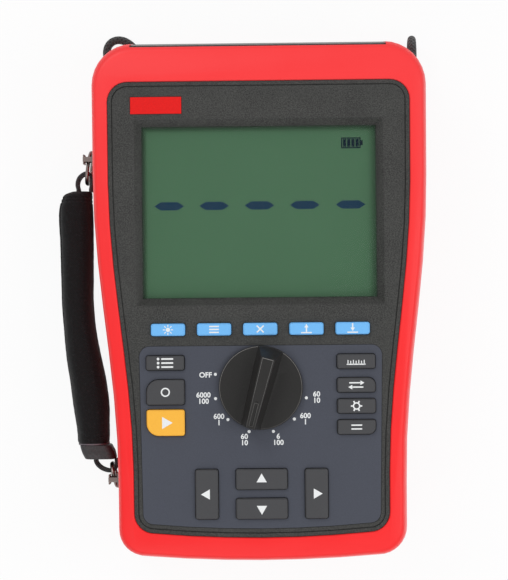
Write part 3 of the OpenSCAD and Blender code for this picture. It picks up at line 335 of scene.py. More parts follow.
def rubber(name, rgb):
    """Matt rubber of the guard, with a painted highlight: paler pink on the crown of its rim, more towards the
    terminal end.
    """
    f = Finish(name, specular_ior_level=0.3)
    fine, wide = f.cloud(0.3, 3.0), f.cloud(18, 3.0)
    _, y, z = f.axes()
    # Painted highlight: a paler pink on the rim's crown, growing towards the terminal end
    crown = ((z - 51 * MM) / (5.5 * MM)).within()
    painted_highlight = (((y + 40 * MM) / (150 * MM)).within() * 0.3 + wide * 0.1) * crown
    body = f.mix((fine * 0.7 + wide * 0.3).within(), dim(rgb, 0.96), dim(rgb, 1.04))
    f.paint(base_color=f.mix(painted_highlight, body, tone(255, 84, 86)),
            roughness=0.4 + (wide - 0.5) * 0.16 + (fine - 0.5) * 0.1, normal=f.bump(fine, 0.03))
    return f.material


def metal(name, rgb, rough, stretch=(1, 1, 12)):
    """Plated or brushed metal with fine lines and dull patches."""
    f = Finish(name, metallic=1.0)
    lines, wide = f.cloud(0.9, 3.0, stretch), f.cloud(9, 2.0)
    f.paint(base_color=f.mix(wide, dim(rgb, 0.86), rgb), roughness=rough + lines * 0.14 + (wide - 0.5) * 0.1,
            normal=f.bump(lines, 0.012))
    return f.material


def circuit(name, rgb):
    """Solder resist over copper tracks."""
    f = Finish(name, coat_weight=0.3)
    x, y, _ = f.axes()
    bend = f.cells(9)
    tracks = ((x * 2600 + bend * 9).sine() * (y * 2100 + bend * 7).sine()) > 0.55
    f.paint(base_color=f.mix(tracks * 0.7, rgb, dim(rgb, 2.1)), roughness=0.36 + f.cloud(0.5) * 0.15,
            normal=f.bump(tracks, 0.03))
    return f.material


def screen_finish(name, c):
    """Green display, darker along its sides and its top edge where the frame shades it."""
    f = Finish(name, specular_ior_level=0.1)
    x, y, _ = f.axes()
    left, top = (x + SCREEN_HALF_W * MM) / (2.6 * MM), (SCREEN_TOP * MM - y) / (2.6 * MM)
    right = (SCREEN_HALF_W * MM - x) / (6 * MM) + 0.35
    open_part = left.least(top).least(right).within()
    cells = ((x * 6000).sine() * (y * 6000).sine()) * 0.05
    green = f.mix((f.cloud(30) * 0.5 + cells + 0.2).within(), dim(c.screen, 0.94), dim(c.screen, 1.08))
    f.paint(base_color=f.mix(open_part, dim(c.screen, 0.42), green), roughness=0.42 + f.cloud(0.4) * 0.1)
    return f.material


def cloth(name, rgb):
    """Woven cloth with crossing threads, lint, and two stitched seams near its top."""
    f = Finish(name, sheen_weight=0.1, sheen_roughness=0.5, specular_ior_level=0.2)
    x, y, z = f.axes()
    turn = 2 * math.pi / (1.1 * MM)
    threads = ((x + z) * turn).sine() * (y * turn).sine()
    fluff = f.cloud(0.5, 4.0)
    low_seam, high_seam = PAD_SEAMS
    row = abs(abs(y - (low_seam + high_seam) / 2 * MM) - (high_seam - low_seam) / 2 * MM)
    stitch = (row < 0.22 * MM) * ((x * (2 * math.pi / (1.9 * MM))).sine() > -0.3)
    nap = f.cloud(1.1, 3.0)
    worn = f.mix((threads * 0.2 + (fluff + nap) * 1.7 - 1.35).within(), dim(rgb, 0.35), dim(rgb, 2.8))
    lint = ((f.cloud(0.75, 1.0) - 0.6) * 9).within()
    body = f.mix(lint * 0.5, worn, dim(rgb, 9))
    f.paint(base_color=f.mix(stitch * 0.75, body, dim(rgb, 6.5)), roughness=0.82 + (fluff - 0.5) * 0.2,
            normal=f.bump(threads * 0.6 + fluff * 0.8 + stitch, 0.16))
    return f.material


def woven(name, rgb, across, along, depth):
    """Braid or webbing that follows the piece's own map."""
    f = Finish(name, sheen_weight=0.2, sheen_roughness=0.5)
    u, v = f.round_and_along()
    one = (u * (2 * math.pi * across) + v * (2 * math.pi * along)).sine()
    two = (u * (2 * math.pi * across) - v * (2 * math.pi * along)).sine()
    height = one.most(two)
    fibres = f.cloud(0.25, 4.0)
    f.paint(base_color=f.mix((height * 0.45 + fibres * 0.5 + 0.15).within(), dim(rgb, 0.4), dim(rgb, 1.6)),
            roughness=0.72 + (fibres - 0.5) * 0.3, normal=f.bump(height + fibres * 0.4, depth))
    return f.material


def leather(name, rgb):
    """Grained leather with pores and a faint polish."""
    f = Finish(name, coat_weight=0.12, coat_roughness=0.35)
    grain, wide = f.cells(0.9), f.cloud(4, 4.0)
    f.paint(base_color=f.mix(wide, dim(rgb, 0.6), dim(rgb, 1.5)), roughness=0.5 + grain * 0.2,
            normal=f.bump(grain + wide * 0.6, 0.14))
    return f.material


def film(name, rgb):
    """Printed film: satin, with a very fine pebble."""
    f = Finish(name, specular_ior_level=0.3)
    pebble, wide = f.cloud(0.5, 3.0), f.cloud(25, 3.0)
    f.paint(base_color=f.mix((wide * 0.3 + pebble * 1.6 - 0.45).within(), dim(rgb, 0.84), dim(rgb, 1.18)),
            roughness=0.5 + (pebble - 0.5) * 0.16, normal=f.bump(pebble, 0.012))
    return f.material


def clear(name):
    """Clear window: nearly all light passes, with a faint film of dust."""
    f = Finish(name, ior=1.49)
    dust = f.cloud(2.5, 4.0)
    f.paint(base_color=f.mix(dust, (0.05, 0.06, 0.055), (0.3, 0.32, 0.3)), roughness=0.06 + dust * 0.06,
            alpha=0.025 + dust * 0.02)
    return f.material


def painted_edge_highlight(name, rgb):
    """Painted highlight for the knob's edges, brightest towards the top of the meter."""
    f = Finish(name, specular_ior_level=0.3)
    y = f.axes()[1]
    bright = ((y + 62 * MM) / (44 * MM)).within()
    f.paint(base_color=f.mix(bright * 0.8 + f.cloud(3) * 0.2, dim(rgb, 1.6), dim(rgb, 11)),
            roughness=0.35 + f.cloud(0.6) * 0.1)
    return f.material


finishes = {}


def finish(slot):
    """The material of a slot, made once."""
    if not finishes:
        c = bpy.context.scene.meter_colours
        finishes.update({
            "red_rubber": rubber("red_rubber", c.guard),
            "dark_casing": moulded("dark_casing", c.casing, 0.56, 0.5, 0.08, 0.8),
            "overlay_film": film("overlay_film", c.overlay),
            "badge_red": moulded("badge_red", c.badge, 0.35, 0.6, 0.01, 0.06, specular_ior_level=0.2),
            "clear_window": clear("clear_window"),
            "display_green": screen_finish("display_green", c),
            "backlight_white": moulded("backlight_white", tone(226, 228, 226), 0.4, 0.6, 0.01, 0.03),
            "contact_rubber": moulded("contact_rubber", tone(226, 120, 140), 0.6, 0.4, 0.03, 0.1),
            "board_green": circuit("board_green", tone(24, 96, 52)),
            "black_plastic": moulded("black_plastic", tone(44, 44, 45), 0.45, 0.4, 0.02, 0.12),
            "zinc_steel": metal("zinc_steel", tone(196, 196, 198), 0.24),
            "mat_rubber": moulded("mat_rubber", tone(150, 152, 156), 0.6, 0.4, 0.02, 0.06),
            "knob_plastic": moulded("knob_plastic", c.knob, 0.42, 0.5, 0.02, 0.12, specular_ior_level=0.18),
            "rotor_plastic": moulded("rotor_plastic", tone(216, 211, 196), 0.5, 0.5, 0.02, 0.05),
            "contact_brass": metal("contact_brass", tone(206, 168, 88), 0.22, (1, 12, 1)),
            "sink_aluminium": metal("sink_aluminium", tone(186, 188, 192), 0.34, (1, 10, 1)),
            "pack_wrap": moulded("pack_wrap", tone(46, 78, 150), 0.3, 3.0, 0.12, 0.12, coat_weight=0.4),
            "foot_rubber": moulded("foot_rubber", tone(36, 36, 36), 0.7, 0.3, 0.04, 0.15),
            "panel_grey": moulded("panel_grey", tone(172, 173, 171), 0.5, 0.6, 0.03, 0.06),
            "strap_steel": metal("strap_steel", tone(128, 116, 112), 0.22, (1, 1, 8)),
            "strap_webbing": woven("strap_webbing", tone(40, 40, 41), 12, 26, 0.2),
            "strap_fabric": cloth("strap_fabric", c.pad),
            "strap_leather": leather("strap_leather", c.leather),
            "cord_braid": woven("cord_braid", tone(46, 45, 45), 5, 22, 0.35),
            "key_dark": moulded("key_dark", c.dark, 0.46, 0.3, 0.015, 0.08),
            "key_blue": moulded("key_blue", c.blue, 0.42, 0.3, 0.012, 0.04),
            "key_yellow": moulded("key_yellow", c.yellow, 0.42, 0.3, 0.012, 0.05),
            "print_white": moulded("print_white", tone(240, 241, 240), 0.5, 0.4, 0.01, 0.04),
            "print_segment": moulded("print_segment", c.segment, 0.7, 0.5, 0.01, 0.05,
                                     specular_ior_level=0.03),
            "print_sign": moulded("print_sign", dim(c.segment, 0.3), 0.7, 0.5, 0.01, 0.05,
                                  specular_ior_level=0.03),
            # Painted shade: dark green of the display's shaded edges, put on its frame
            "painted_screen_shade": moulded("painted_screen_shade", tone(40, 60, 44), 0.6, 0.5, 0.01, 0.1),
            # Painted highlight colour for the light lines on the knob's edges
            "painted_edge_highlight": painted_edge_highlight("painted_edge_highlight", c.knob),
            "piping": moulded("piping", tone(112, 104, 109), 0.6, 0.3, 0.05, 0.15),
        })
    return finishes[slot]


def piece(name, bm, body, slot, look=None, replaces=(), smooth=40.0, outwards=True):
    """Turns a finished bmesh into an object that rides on a body."""
    if outwards:
        bmesh.ops.recalc_face_normals(bm, faces=bm.faces)
    for face in bm.faces:
        face.smooth = True
    mesh = bpy.data.meshes.new(name)
    bm.to_mesh(mesh)
    bm.free()
    mesh.set_sharp_from_angle(angle=math.radians(smooth))
    mesh.materials.append(finish(look or slot))
    obj = bpy.data.objects.new(name, mesh)
    bpy.context.scene.collection.objects.link(obj)
    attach(obj, body)
    if replaces:
        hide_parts(*replaces)
    return obj


def rounded(node, width, segments=2, turn=32.0):
    """A merged copy of a CAD node with its sharp edges rounded, in the node's place."""
    bm = bmesh.new()
    bm.from_mesh(frame["nodes"][node].data)
    bmesh.ops.remove_doubles(bm, verts=bm.verts, dist=WELD)
    bmesh.ops.dissolve_limit(bm, angle_limit=math.radians(0.5), verts=bm.verts, edges=bm.edges)
    obj = piece(f"{node}_finished", bm, frame["nodes"][node]["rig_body"], SLOT_OF[node], replaces=(node,),
                smooth=turn, outwards=False)
    edges = obj.modifiers.new("rounded edges", "BEVEL")
    edges.width, edges.segments, edges.limit_method = width, segments, "ANGLE"
    edges.angle_limit, edges.harden_normals, edges.use_clamp_overlap = math.radians(turn), True, True
    return obj


def wrapped(around, along, place):
    """A closed skin: a grid bent by place(round share, along share), its seam and ends merged."""
    bm = bmesh.new()
    bm.loops.layers.uv.new("UVMap")
    bmesh.ops.create_grid(bm, x_segments=around, y_segments=along, size=0.5, calc_uvs=True)
    for vert in bm.verts:
        vert.co = place(vert.co.x + 0.5, vert.co.y + 0.5)
    bmesh.ops.remove_doubles(bm, verts=bm.verts, dist=SEAM_WELD)
    return bm


def between(rows, share):
    """A smooth value at a share of the way through rows of numbers."""
    at = max(0.0, min(share, 1.0)) * (len(rows) - 1)
    i = min(int(at), len(rows) - 2)
    t = at - i
    a, b, c, d = (Vector(rows[max(0, min(i + k, len(rows) - 1))]) for k in (-1, 0, 1, 2))
    return 0.5 * (2 * b + (c - a) * t + (2 * a - 5 * b + 4 * c - d) * t * t
                  + (3 * b - a - 3 * c + d) * t ** 3)


def cap(share, ends):
    """Section size and share along the route, with both ends closed over a short stretch."""
    if share < ends:
        return math.sin(math.pi / 2 * share / ends), 0.0
    if share > 1 - ends:
        return math.sin(math.pi / 2 * (1 - share) / ends), 1.0
    return 1.0, (share - ends) / (1 - 2 * ends)


def rounded_ends(share, ends, flat):
    """As cap, with a flat face of a size at each end and a rounded edge round it."""
    near = min(share, 1 - share) / ends
    if near >= 1:
        size = 1.0
    elif near < 0.5:
        size = flat * near * 2
    else:
        size = flat + (1 - flat) * math.sin(math.pi / 2 * (near * 2 - 1))
    skipped = ends / 2
    return size, max(0.0, min((share - skipped) / (1 - 2 * skipped), 1.0))


def sweep(route, across, section, around=24, along=90, ends=0.02):
    """A section swept along a route whose plane has a fixed direction across it."""
    across = Vector(across)

    def place(u, w):
        size, at = cap(w, ends)
        here = between(route, at)
        way = (between(route, min(at + 0.01, 1)) - between(route, max(at - 0.01, 0))).normalized()
        side, up = section(2 * math.pi * u)
        return (here + way.cross(across) * side * size + across * up * size) * MM
    return wrapped(around, along, place)


def round_section(radius):
    """A circle, as a function of the angle."""
    return lambda a: (radius * math.cos(a), radius * math.sin(a))


def flat_section(thick, wide, power=0.35):
    """A rectangle with soft corners, as a function of the angle."""
    def at(a):
        c, s = math.cos(a), math.sin(a)
        return (math.copysign(abs(c) ** power, c) * thick / 2, math.copysign(abs(s) ** power, s) * wide / 2)
    return at


class Print:
    """Flat printed marks, drawn in millimetres and raised into thin plates."""

    def __init__(self, low, rise):
        self.bm, self.low, self.rise = bmesh.new(), low * MM, rise

    def lift(self, faces):
        """Raises flat faces into plates."""
        out = bmesh.ops.extrude_face_region(self.bm, geom=faces)["geom"]
        bmesh.ops.translate(self.bm, verts=[g for g in out if isinstance(g, bmesh.types.BMVert)],
                            vec=(0, 0, self.rise))

    def outline(self, points):
        verts = [self.bm.verts.new((x * MM, y * MM, self.low)) for x, y in points]
        self.lift([self.bm.faces.new(verts)])

    def bar(self, x, y, wide, high, turn=0.0):
        c, s = math.cos(math.radians(turn)), math.sin(math.radians(turn))
        self.outline([(x + c * a - s * b, y + s * a + c * b) for a, b in (
            (-wide / 2, -high / 2), (wide / 2, -high / 2), (wide / 2, high / 2), (-wide / 2, high / 2))])

    def cross(self, x, y, span, wide):
        """A diagonal cross in one outline."""
        c, s, a, b = math.cos(math.pi / 4), math.sin(math.pi / 4), span / 2, wide / 2
        quarter = ((a, -b), (a, b), (b, b))
        points = []
        for _ in range(4):
            points += [(x + c * i - s * j, y + s * i + c * j) for i, j in quarter]
            quarter = [(-j, i) for i, j in quarter]
        self.outline(points)

    def round(self, x, y, radius, sides=28):
        turns = [2 * math.pi * i / sides for i in range(sides)]
        self.outline([(x + radius * math.cos(a), y + radius * math.sin(a)) for a in turns])

    def ring(self, x, y, radius, wide, sides=28):
        edges = []
        for r in (radius, radius - wide):
            made = bmesh.ops.create_circle(self.bm, segments=sides, radius=r * MM,
                                           matrix=Matrix.Translation((x * MM, y * MM, self.low)))
            edges += list({e for v in made["verts"] for e in v.link_edges})
        self.lift(bmesh.ops.bridge_loops(self.bm, edges=edges)["faces"])

    def arrow(self, x, y, size, turn=0.0):
        turns = [math.radians(turn + a) for a in (0, 120, 240)]
        self.outline([(x + size * math.cos(a), y + size * math.sin(a)) for a in turns])

    def done(self, name, body, slot, look):
        """The marks as one object."""
        return piece(name, self.bm, body, slot, look, smooth=30)


def direct_rays(nodes, links):
    """Socket that is 1 for rays from the camera, off a mirror or through glass."""
    rays = nodes.new("ShaderNodeLightPath")
    total = rays.outputs["Is Camera Ray"]
    for name in ("Is Glossy Ray", "Is Transmission Ray"):
        more = nodes.new("ShaderNodeMath")
        more.operation = "MAXIMUM"
        links.new(total, more.inputs[0])
        links.new(rays.outputs[name], more.inputs[1])
        total = more.outputs[0]
    return total


class METER_OT_stage(bpy.types.Operator):
    """Camera, soft lamps, white surroundings and the floor"""
    bl_idname = "meter.stage"
    bl_label = "Camera, light and floor"

    def execute(self, context):
        scene = context.scene
        scene.view_settings.view_transform = "Standard"
        lens = bpy.data.cameras.new("camera")
        lens.sensor_fit, lens.sensor_height = "VERTICAL", SENSOR_H
        lens.lens = FOCAL_PIXELS / IMAGE_PIXELS * SENSOR_H
        eye = bpy.data.objects.new("camera", lens)
        eye.location, eye.rotation_euler = CAMERA_PLACE, CAMERA_TURN
        scene.collection.objects.link(eye)
        scene.camera = eye
        for name, place, size, power in LAMPS:
            lamp = bpy.data.lights.new(name, "AREA")
            lamp.energy, lamp.size = power, size
            obj = bpy.data.objects.new(name, lamp)
            obj.location = place
            obj.rotation_euler = (-Vector(place)).to_track_quat("-Z", "Y").to_euler()
            scene.collection.objects.link(obj)
        world = scene.world or bpy.data.worlds.new("world")
        scene.world = world
        world.use_nodes = True
        nodes, links = world.node_tree.nodes, world.node_tree.links
        nodes.clear()
        plain, white = nodes.new("ShaderNodeBackground"), nodes.new("ShaderNodeBackground")
        plain.inputs["Color"].default_value = (0.95, 0.97, 1, 1)
        plain.inputs["Strength"].default_value = WORLD_LIGHT
        white.inputs["Color"].default_value = (1, 1, 1, 1)
        white.inputs["Strength"].default_value = 1.0
        pick, out = nodes.new("ShaderNodeMixShader"), nodes.new("ShaderNodeOutputWorld")
        links.new(direct_rays(nodes, links), pick.inputs[0])
        links.new(plain.outputs[0], pick.inputs[1])
        links.new(white.outputs[0], pick.inputs[2])
        links.new(pick.outputs[0], out.inputs[0])
        bm = bmesh.new()
        bmesh.ops.create_grid(bm, x_segments=1, y_segments=1, size=3.0,
                              matrix=Matrix.Translation((0, 0, FLOOR_Z * MM)))
        mesh = bpy.data.meshes.new("floor")
        bm.to_mesh(mesh)
        bm.free()
        floor = bpy.data.objects.new("floor", mesh)
        scene.collection.objects.link(floor)
        f = Finish("floor", roughness=0.9)
        f.paint(base_color=f.mix(f.cloud(40), (0.86, 0.86, 0.86), (0.9, 0.9, 0.9)))
        glow = f.node("ShaderNodeEmission", values={"Color": (1, 1, 1, 1), "Strength": 1.0})
        share = Wire(f, direct_rays(f.tree.nodes, f.tree.links)) * FLOOR_GLOW
        mixed = f.node("ShaderNodeMixShader", values={0: share, 1: Wire(f, f.shader.outputs[0]), 2: glow})
        f.tree.links.new(mixed.out, f.tree.nodes["Material Output"].inputs["Surface"])
        mesh.materials.append(f.material)
        return {"FINISHED"}


class METER_OT_cords(bpy.types.Operator):
    """Two braided cord loops at the top corners"""
    bl_idname = "meter.cords"
    bl_label = "Cord loops"

    def execute(self, context):
        s = context.scene.meter_sizes
        for side, across, route in CORD_ROUTES:
            bm = sweep(route, across, round_section(s.cord_d * 0.48 / MM), 24, 110, 0.01)
            cord = piece(f"cord_{side}", bm, "case", "cord_braid", replaces=(f"cord_loop_{side}",))
            steps = [between(route, i / 120) * MM for i in range(121)]
            whole = sum((b - a).length for a, b in zip(steps, steps[1:]))
            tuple(steps[0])
        return {"FINISHED"}


class METER_OT_guard(bpy.types.Operator):
    """Red rubber guard, front and rear halves"""
    bl_idname = "meter.guard"
    bl_label = "Guard"

    def execute(self, context):
        for node in ("front_guard", "rear_guard"):
            rounded(node, context.scene.meter_sizes.guard_round, 3, 40)
        return {"FINISHED"}


def screw_heads(node):
    """Middle, lowest point and radius of each screw of a CAD node, in millimetres."""
    bm = bmesh.new()
    bm.from_mesh(frame["nodes"][node].data)
    bmesh.ops.remove_doubles(bm, verts=bm.verts, dist=WELD)
    waiting, found = set(bm.verts), []
    while waiting:
        stack, part = [waiting.pop()], []
        while stack:
            vert = stack.pop()
            part.append(vert.co / MM)
            for edge in vert.link_edges:
                other = edge.other_vert(vert)
                if other in waiting:
                    waiting.remove(other)
                    stack.append(other)
        xs, ys, zs = ([p[i] for p in part] for i in range(3))
        found.append(((min(xs) + max(xs)) / 2, (min(ys) + max(ys)) / 2, min(zs), (max(xs) - min(xs)) / 2))
    bm.free()
    return found


class METER_OT_casing(bpy.types.Operator):
    """Casings, terminal end, overlay, plate, stand, feet and screws"""
    bl_idname = "meter.casing"
    bl_label = "Casings and ends"

    def execute(self, context):
        edge = context.scene.meter_sizes.edge_round
        for node, share in CASE_NODES:
            made = rounded(node, edge * share)
            # The display frame takes the screen's shaded green: painted shade along the display's edges
            if node == "lcd_frame":
                made.data.materials[0] = finish("painted_screen_shade")
        for node in ("case_screws", "battery_cover_screws"):
            p = Print(0, CROSS_RISE * MM)
            for x, y, low, radius in screw_heads(node):
                p.low = (low - CROSS_RISE) * MM
                p.cross(x, y, 1.3 * radius, 0.3 * radius)
            p.done(f"{node}_crosses", "case", "black_plastic", "black_plastic")
        return {"FINISHED"}


class METER_OT_keys(bpy.types.Operator):
    """Sixteen keys with rounded tops and plain signs"""
    bl_idname = "meter.keys"
    bl_label = "Keys"

    def execute(self, context):
        s = context.scene.meter_sizes
        for node in sorted(frame["nodes"]):
            if not node.startswith("key_"):
                continue
            rounded(node, s.key_round, 4)
            low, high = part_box(node)
            x, y = (low.x + high.x) / 2 / MM, (low.y + high.y) / 2 / MM
            p = Print(high.z / MM, s.print_rise)
            self.sign(p, node[4:], x, y)
            grow = 1.1 if node[4:] in ARROWS else 1.3
            bmesh.ops.scale(p.bm, verts=p.bm.verts, vec=(grow, grow, 1),
                            space=Matrix.Translation((-x * MM, -y * MM, 0)))
            p.done(f"{node}_sign", node, "backlight_white", "print_white")
        return {"FINISHED"}

    def sign(self, p, word, x, y):
        """Draws the plain sign of a key round its middle."""
        if word in ARROWS:
            p.arrow(x, y, 2.6, ARROWS[word])
        elif word == "backlight":
            p.round(x, y, 0.8)
            for turn in range(0, 360, 45):
                c, n = math.cos(math.radians(turn)), math.sin(math.radians(turn))
                p.bar(x + 1.5 * c, y + 1.5 * n, 0.8, 0.34, turn)
        elif word == "data":
            for i in (-1, 0, 1):
                p.bar(x, y + i * 1.1, 3.6, 0.5)
        elif word == "clear":
            p.cross(x, y, 3.6, 0.5)
        elif word in ("read", "save"):
            p.bar(x, y - 1.5, 4, 0.45)
            p.bar(x, y + (1.05 if word == "save" else -0.4), 0.5, 1.6)
            p.arrow(x, y + (-0.2 if word == "save" else 0.85), 0.9, 270 if word == "save" else 90)
        elif word == "index":
            for i in (-1.5, 0, 1.5):
                p.bar(x + 0.8, y + i, 4.4, 0.6)
                p.round(x - 2.6, y + i, 0.5, 12)
        elif word == "zero":
            p.ring(x, y, 1.7, 0.5)
        elif word == "start":
            p.arrow(x, y, 2.6, 0)
        elif word == "length":
            p.bar(x, y - 1.1, 7, 0.45)
            for i in range(7):
                p.bar(x - 3 + i, y - 0.3, 0.35, 1.6 if i % 2 == 0 else 1.0)
        elif word == "mode":
            p.bar(x - 0.5, y + 0.8, 4.2, 0.5)
            p.arrow(x + 2, y + 0.8, 1.0, 0)
            p.bar(x + 0.5, y - 0.8, 4.2, 0.5)
            p.arrow(x - 2, y - 0.8, 1.0, 180)
        elif word == "setup":
            p.ring(x, y, 1.4, 0.5)
            for turn in range(0, 360, 60):
                c, n = math.cos(math.radians(turn)), math.sin(math.radians(turn))
                p.bar(x + 1.75 * c, y + 1.75 * n, 0.7, 0.55, turn)
        else:
            p.bar(x, y + 0.7, 4, 0.5)
            p.bar(x, y - 0.7, 4, 0.5)


class METER_OT_knob(bpy.types.Operator):
    """Range knob, and the dial's dots and numbers"""
    bl_idname = "meter.knob"
    bl_label = "Knob and dial"

    def execute(self, context):
        s = context.scene.meter_sizes
        rounded("range_knob", s.knob_round, 3)
        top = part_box("panel_overlay")[1].z / MM
        p = Print(top, s.print_rise)
        for turn in DIAL_TURNS:
            p.round(KNOB.x + s.dial_r / MM * math.cos(math.radians(turn)),
                    KNOB.y + DIAL_RISE + s.dial_r / MM * math.sin(math.radians(turn)), s.dot_r / MM)
        p.done("dial_dots", "case", "backlight_white", "print_white")
        # Painted highlight lines along the knob's bar edges and round its marker groove
        p = Print(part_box("range_knob")[1].z / MM, s.print_rise / 2)
        for line in KNOB_HIGHLIGHT_LINES:
            p.bar(*line)
        bmesh.ops.rotate(p.bm, verts=p.bm.verts, matrix=Matrix.Rotation(math.radians(KNOB_TURN), 3, "Z"))
        bmesh.ops.translate(p.bm, verts=p.bm.verts, vec=(KNOB.x * MM, KNOB.y * MM, 0))
        p.done("knob_highlight_lines", "knob", "knob_plastic", "painted_edge_highlight")
        # Painted highlight ring round the knob's rim
        p = Print(KNOB_RIM_Z, s.print_rise / 2)
        p.ring(KNOB.x, KNOB.y, KNOB_RIM_R, KNOB_RIM_W, 96)
        p.done("knob_rim_highlight", "knob", "knob_plastic", "painted_edge_highlight")
        bm = bmesh.new()
        for text, x, y in DIAL_WORDS:
            curve = bpy.data.curves.new("dial_text", "FONT")
            curve.body, curve.size, curve.extrude = text, s.text_h, s.print_rise / 2
            curve.align_x, curve.align_y, curve.space_line = "CENTER", "CENTER", 0.86
            curve.offset = 0.09 * MM
            curve.resolution_u = 3
            source = bpy.data.objects.new("dial_text", curve)
            context.scene.collection.objects.link(source)
            context.view_layer.update()
            mesh = bpy.data.meshes.new_from_object(
                source.evaluated_get(context.evaluated_depsgraph_get()))
            mesh.transform(Matrix.Translation(((KNOB.x + x) * MM, (KNOB.y + y) * MM,
                                               top * MM + s.print_rise / 2)))
            bm.from_mesh(mesh)
            bpy.data.objects.remove(source)
            bpy.data.meshes.remove(mesh)
            bpy.data.curves.remove(curve)
        bmesh.ops.remove_doubles(bm, verts=bm.verts, dist=SEAM_WELD)
        piece("dial_numbers", bm, "case", "backlight_white", "print_white", smooth=30)
        return {"FINISHED"}


class METER_OT_display(bpy.types.Operator):
    """Dark shapes on the display: five dashes and a battery sign"""
    bl_idname = "meter.display"
    bl_label = "Display"

    def execute(self, context):
        s = context.scene.meter_sizes
        p = Print(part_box("lcd_glass")[1].z / MM, s.print_rise)
        low, high, tip = DASH_Y - DASH_HALF_H, DASH_Y + DASH_HALF_H, DASH_HALF_W - DASH_POINT
        for x in DASH_XS:
            p.outline([(x - DASH_HALF_W, DASH_Y), (x - tip, low), (x + tip, low), (x + DASH_HALF_W, DASH_Y),
                       (x + tip, high), (x - tip, high)])
        p.done("display_dashes", "case", "display_green", "print_segment")
        p = Print(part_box("lcd_glass")[1].z / MM, s.print_rise)
        for x, y, wide, high in SIGN_BARS:
            p.bar(SIGN_X + x, SIGN_Y + y, wide, high)
        for i in range(4):
            p.bar(SIGN_X - 3.06 + 2.04 * i, SIGN_Y, 1.62, 3.7)
        p.done("battery_sign", "case", "display_green", "print_sign")
        return {"FINISHED"}


def half_w(y):
    """Half the guard's width at a height y along it, in millimetres."""
    t = max(0.0, min((y / 257 + 0.33) / 0.5635, 1.0))
    return 71.9 + 0.6 * y / 128.5 + 10.6 * (1 - math.cos(math.pi * t)) / 2


def pad_point(turn, share, size=1.0):
    """A point of the pad's skin, in millimetres, at an angle round it and a share along it."""
    along, left, right, high = between(PAD_ROWS, share)
    y = PAD_TOP - along * (PAD_TOP - PAD_FOOT)
    line = -73.49 - 0.07142 * (y + 87.8)
    middle, half = line + (left + right) / 2 * PAD_SCALE, (right - left) / 2 * PAD_SCALE
    c, n = math.cos(turn), math.sin(turn)
    side, up = math.copysign(abs(c) ** 0.62, c), math.copysign(abs(n) ** 0.62, n)
    return Vector((middle + half * side * size, y, PAD_MID_Z + high * PAD_HALF_H * up * size))


def middle_z(node):
    """Middle height of a CAD node, in millimetres."""
    low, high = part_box(node)
    return (low.z + high.z) / 2 / MM


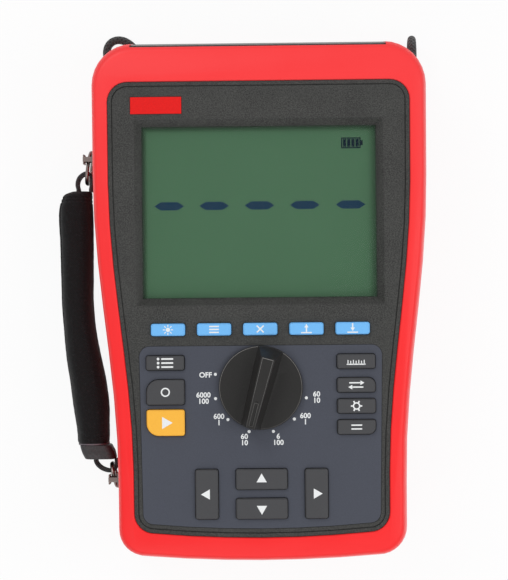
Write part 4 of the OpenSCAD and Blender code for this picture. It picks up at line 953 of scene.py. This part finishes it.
class METER_OT_strap(bpy.types.Operator):
    """Hand strap: padded grip, piping, end band and woven loops"""
    bl_idname = "meter.strap"
    bl_label = "Hand strap"

    def execute(self, context):
        s = context.scene.meter_sizes
        self.pad(s.pad_slack / MM)
        self.piping(s.piping_r / MM)
        self.band()
        section = flat_section(s.web_t / MM * 0.94, s.web_w / MM * 0.98)
        middle = middle_z("strap_webbing")
        for name, y, points in LOOPS:
            x = -half_w(y) - LOOP_GAP
            route = [(x + LOOP_SCALE * a, y + LOOP_SCALE * b, middle) for a, b in points]
            bm = sweep(route, (0, 0, 1), section, 32, 90, 0.01)
            web = piece(f"strap_web_{name}", bm, "strap", "strap_webbing", smooth=60)
            if name == "upper":
                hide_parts("strap_webbing")
        return {"FINISHED"}

    def pad(self, slack):
        """The grip's cloth, with slack, two seams and a fold along its left side."""
        def skin(u, w):
            size, at = cap(w, 0.03)
            point = pad_point(2 * math.pi * u, at, size)
            dip = slack * (0.6 + noise.noise(point * 0.09)) * 0.5
            for seam in PAD_SEAMS:
                dip += 0.45 * math.exp(-((point.y - seam) / 0.35) ** 2)
            dip += 0.12 * noise.noise(point * 0.5)
            fold = 0.415 - 0.03 * math.cos(math.pi * at)
            dip += 1.2 * math.exp(-((u - fold) / 0.014) ** 2) * min(1.0, 8 * at)
            middle = pad_point(0, at, 0)
            out = point - Vector((middle.x, point.y, PAD_MID_Z))
            return (point - out.normalized() * max(dip, 0) * size if out.length > 1e-6 else point) * MM
        pad = piece("strap_pad_cloth", wrapped(72, 180, skin), "strap", "strap_fabric",
                    replaces=("strap_pad",), smooth=70)

    def piping(self, radius):
        """A thin roll of cloth round the pad's foot."""
        steps = 48
        ring = [pad_point(2 * math.pi * i / steps, 0.975, 0.99) for i in range(steps + 1)]

        def skin(u, w):
            at = ring[int(w * steps + 0.5) % steps]
            out = (at - Vector((ring[steps // 4].x, at.y, PAD_MID_Z))).normalized()
            a = 2 * math.pi * u
            return (at + (out * math.cos(a) + Vector((0, 1, 0)) * math.sin(a)) * radius) * MM
        piece("strap_piping", wrapped(10, steps, skin), "strap", "strap_leather", "piping", smooth=70)

    def band(self):
        """The leather band under the pad, with soft edges and a slight dent here and there."""
        middle, section = middle_z("strap_end"), flat_section(1, 1, 0.38)

        def skin(u, w):
            size, at = rounded_ends(w, 0.16, 0.93)
            along, left, right = between(BAND_ROWS, at)
            side, up = section(2 * math.pi * u)
            x, half = BAND_X + (left + right) / 2 * PAD_SCALE, (right - left) / 2 * PAD_SCALE
            crown = 1 - 0.04 * math.cos(2 * math.pi * at)
            dent = 0.25 * noise.noise((side * 2.0, up * 2.0, at * 3))
            return Vector((x + (2 * half * side + dent * side) * size, PAD_FOOT - BAND_LENGTH * along,
                           middle + (BAND_HALF_H * up * crown + dent * up) * size)) * MM
        piece("strap_end_band", wrapped(56, 40, skin), "strap", "strap_leather",
              replaces=("strap_end",), smooth=60)


class METER_OT_insides(bpy.types.Operator):
    """Finishes on every CAD node that stays"""
    bl_idname = "meter.insides"
    bl_label = "Other finishes"

    def execute(self, context):
        for node, obj in frame["nodes"].items():
            obj.data.materials.clear()
            obj.data.materials.append(finish(SLOT_OF[node]))
        return {"FINISHED"}


STEPS = (METER_OT_stage, METER_OT_cords, METER_OT_insides, METER_OT_guard, METER_OT_casing,
         METER_OT_keys, METER_OT_knob, METER_OT_display, METER_OT_strap)


class METER_PT_panel(bpy.types.Panel):
    """Steps that build the meter, in order"""
    bl_idname = "METER_PT_panel"
    bl_label = "Meter"
    bl_space_type = "VIEW_3D"
    bl_region_type = "UI"
    bl_category = "Meter"

    def draw(self, context):
        for step in STEPS:
            self.layout.operator(step.bl_idname)
        for group in (context.scene.meter_sizes, context.scene.meter_colours):
            for name in group.__annotations__:
                self.layout.prop(group, name)


CLASSES = (MeterSizes, MeterColours, *STEPS, METER_PT_panel)


def register():
    for cls in CLASSES:
        bpy.utils.register_class(cls)
    bpy.types.Scene.meter_sizes = bpy.props.PointerProperty(type=MeterSizes)
    bpy.types.Scene.meter_colours = bpy.props.PointerProperty(type=MeterColours)


def unregister():
    del bpy.types.Scene.meter_colours
    del bpy.types.Scene.meter_sizes
    for cls in reversed(CLASSES):
        bpy.utils.unregister_class(cls)


def main():
    register()
    for step in STEPS:
        group, name = step.bl_idname.split(".")
        getattr(getattr(bpy.ops, group), name)()
    bpy.context.view_layer.update()


if __name__ == "__main__":
    main()
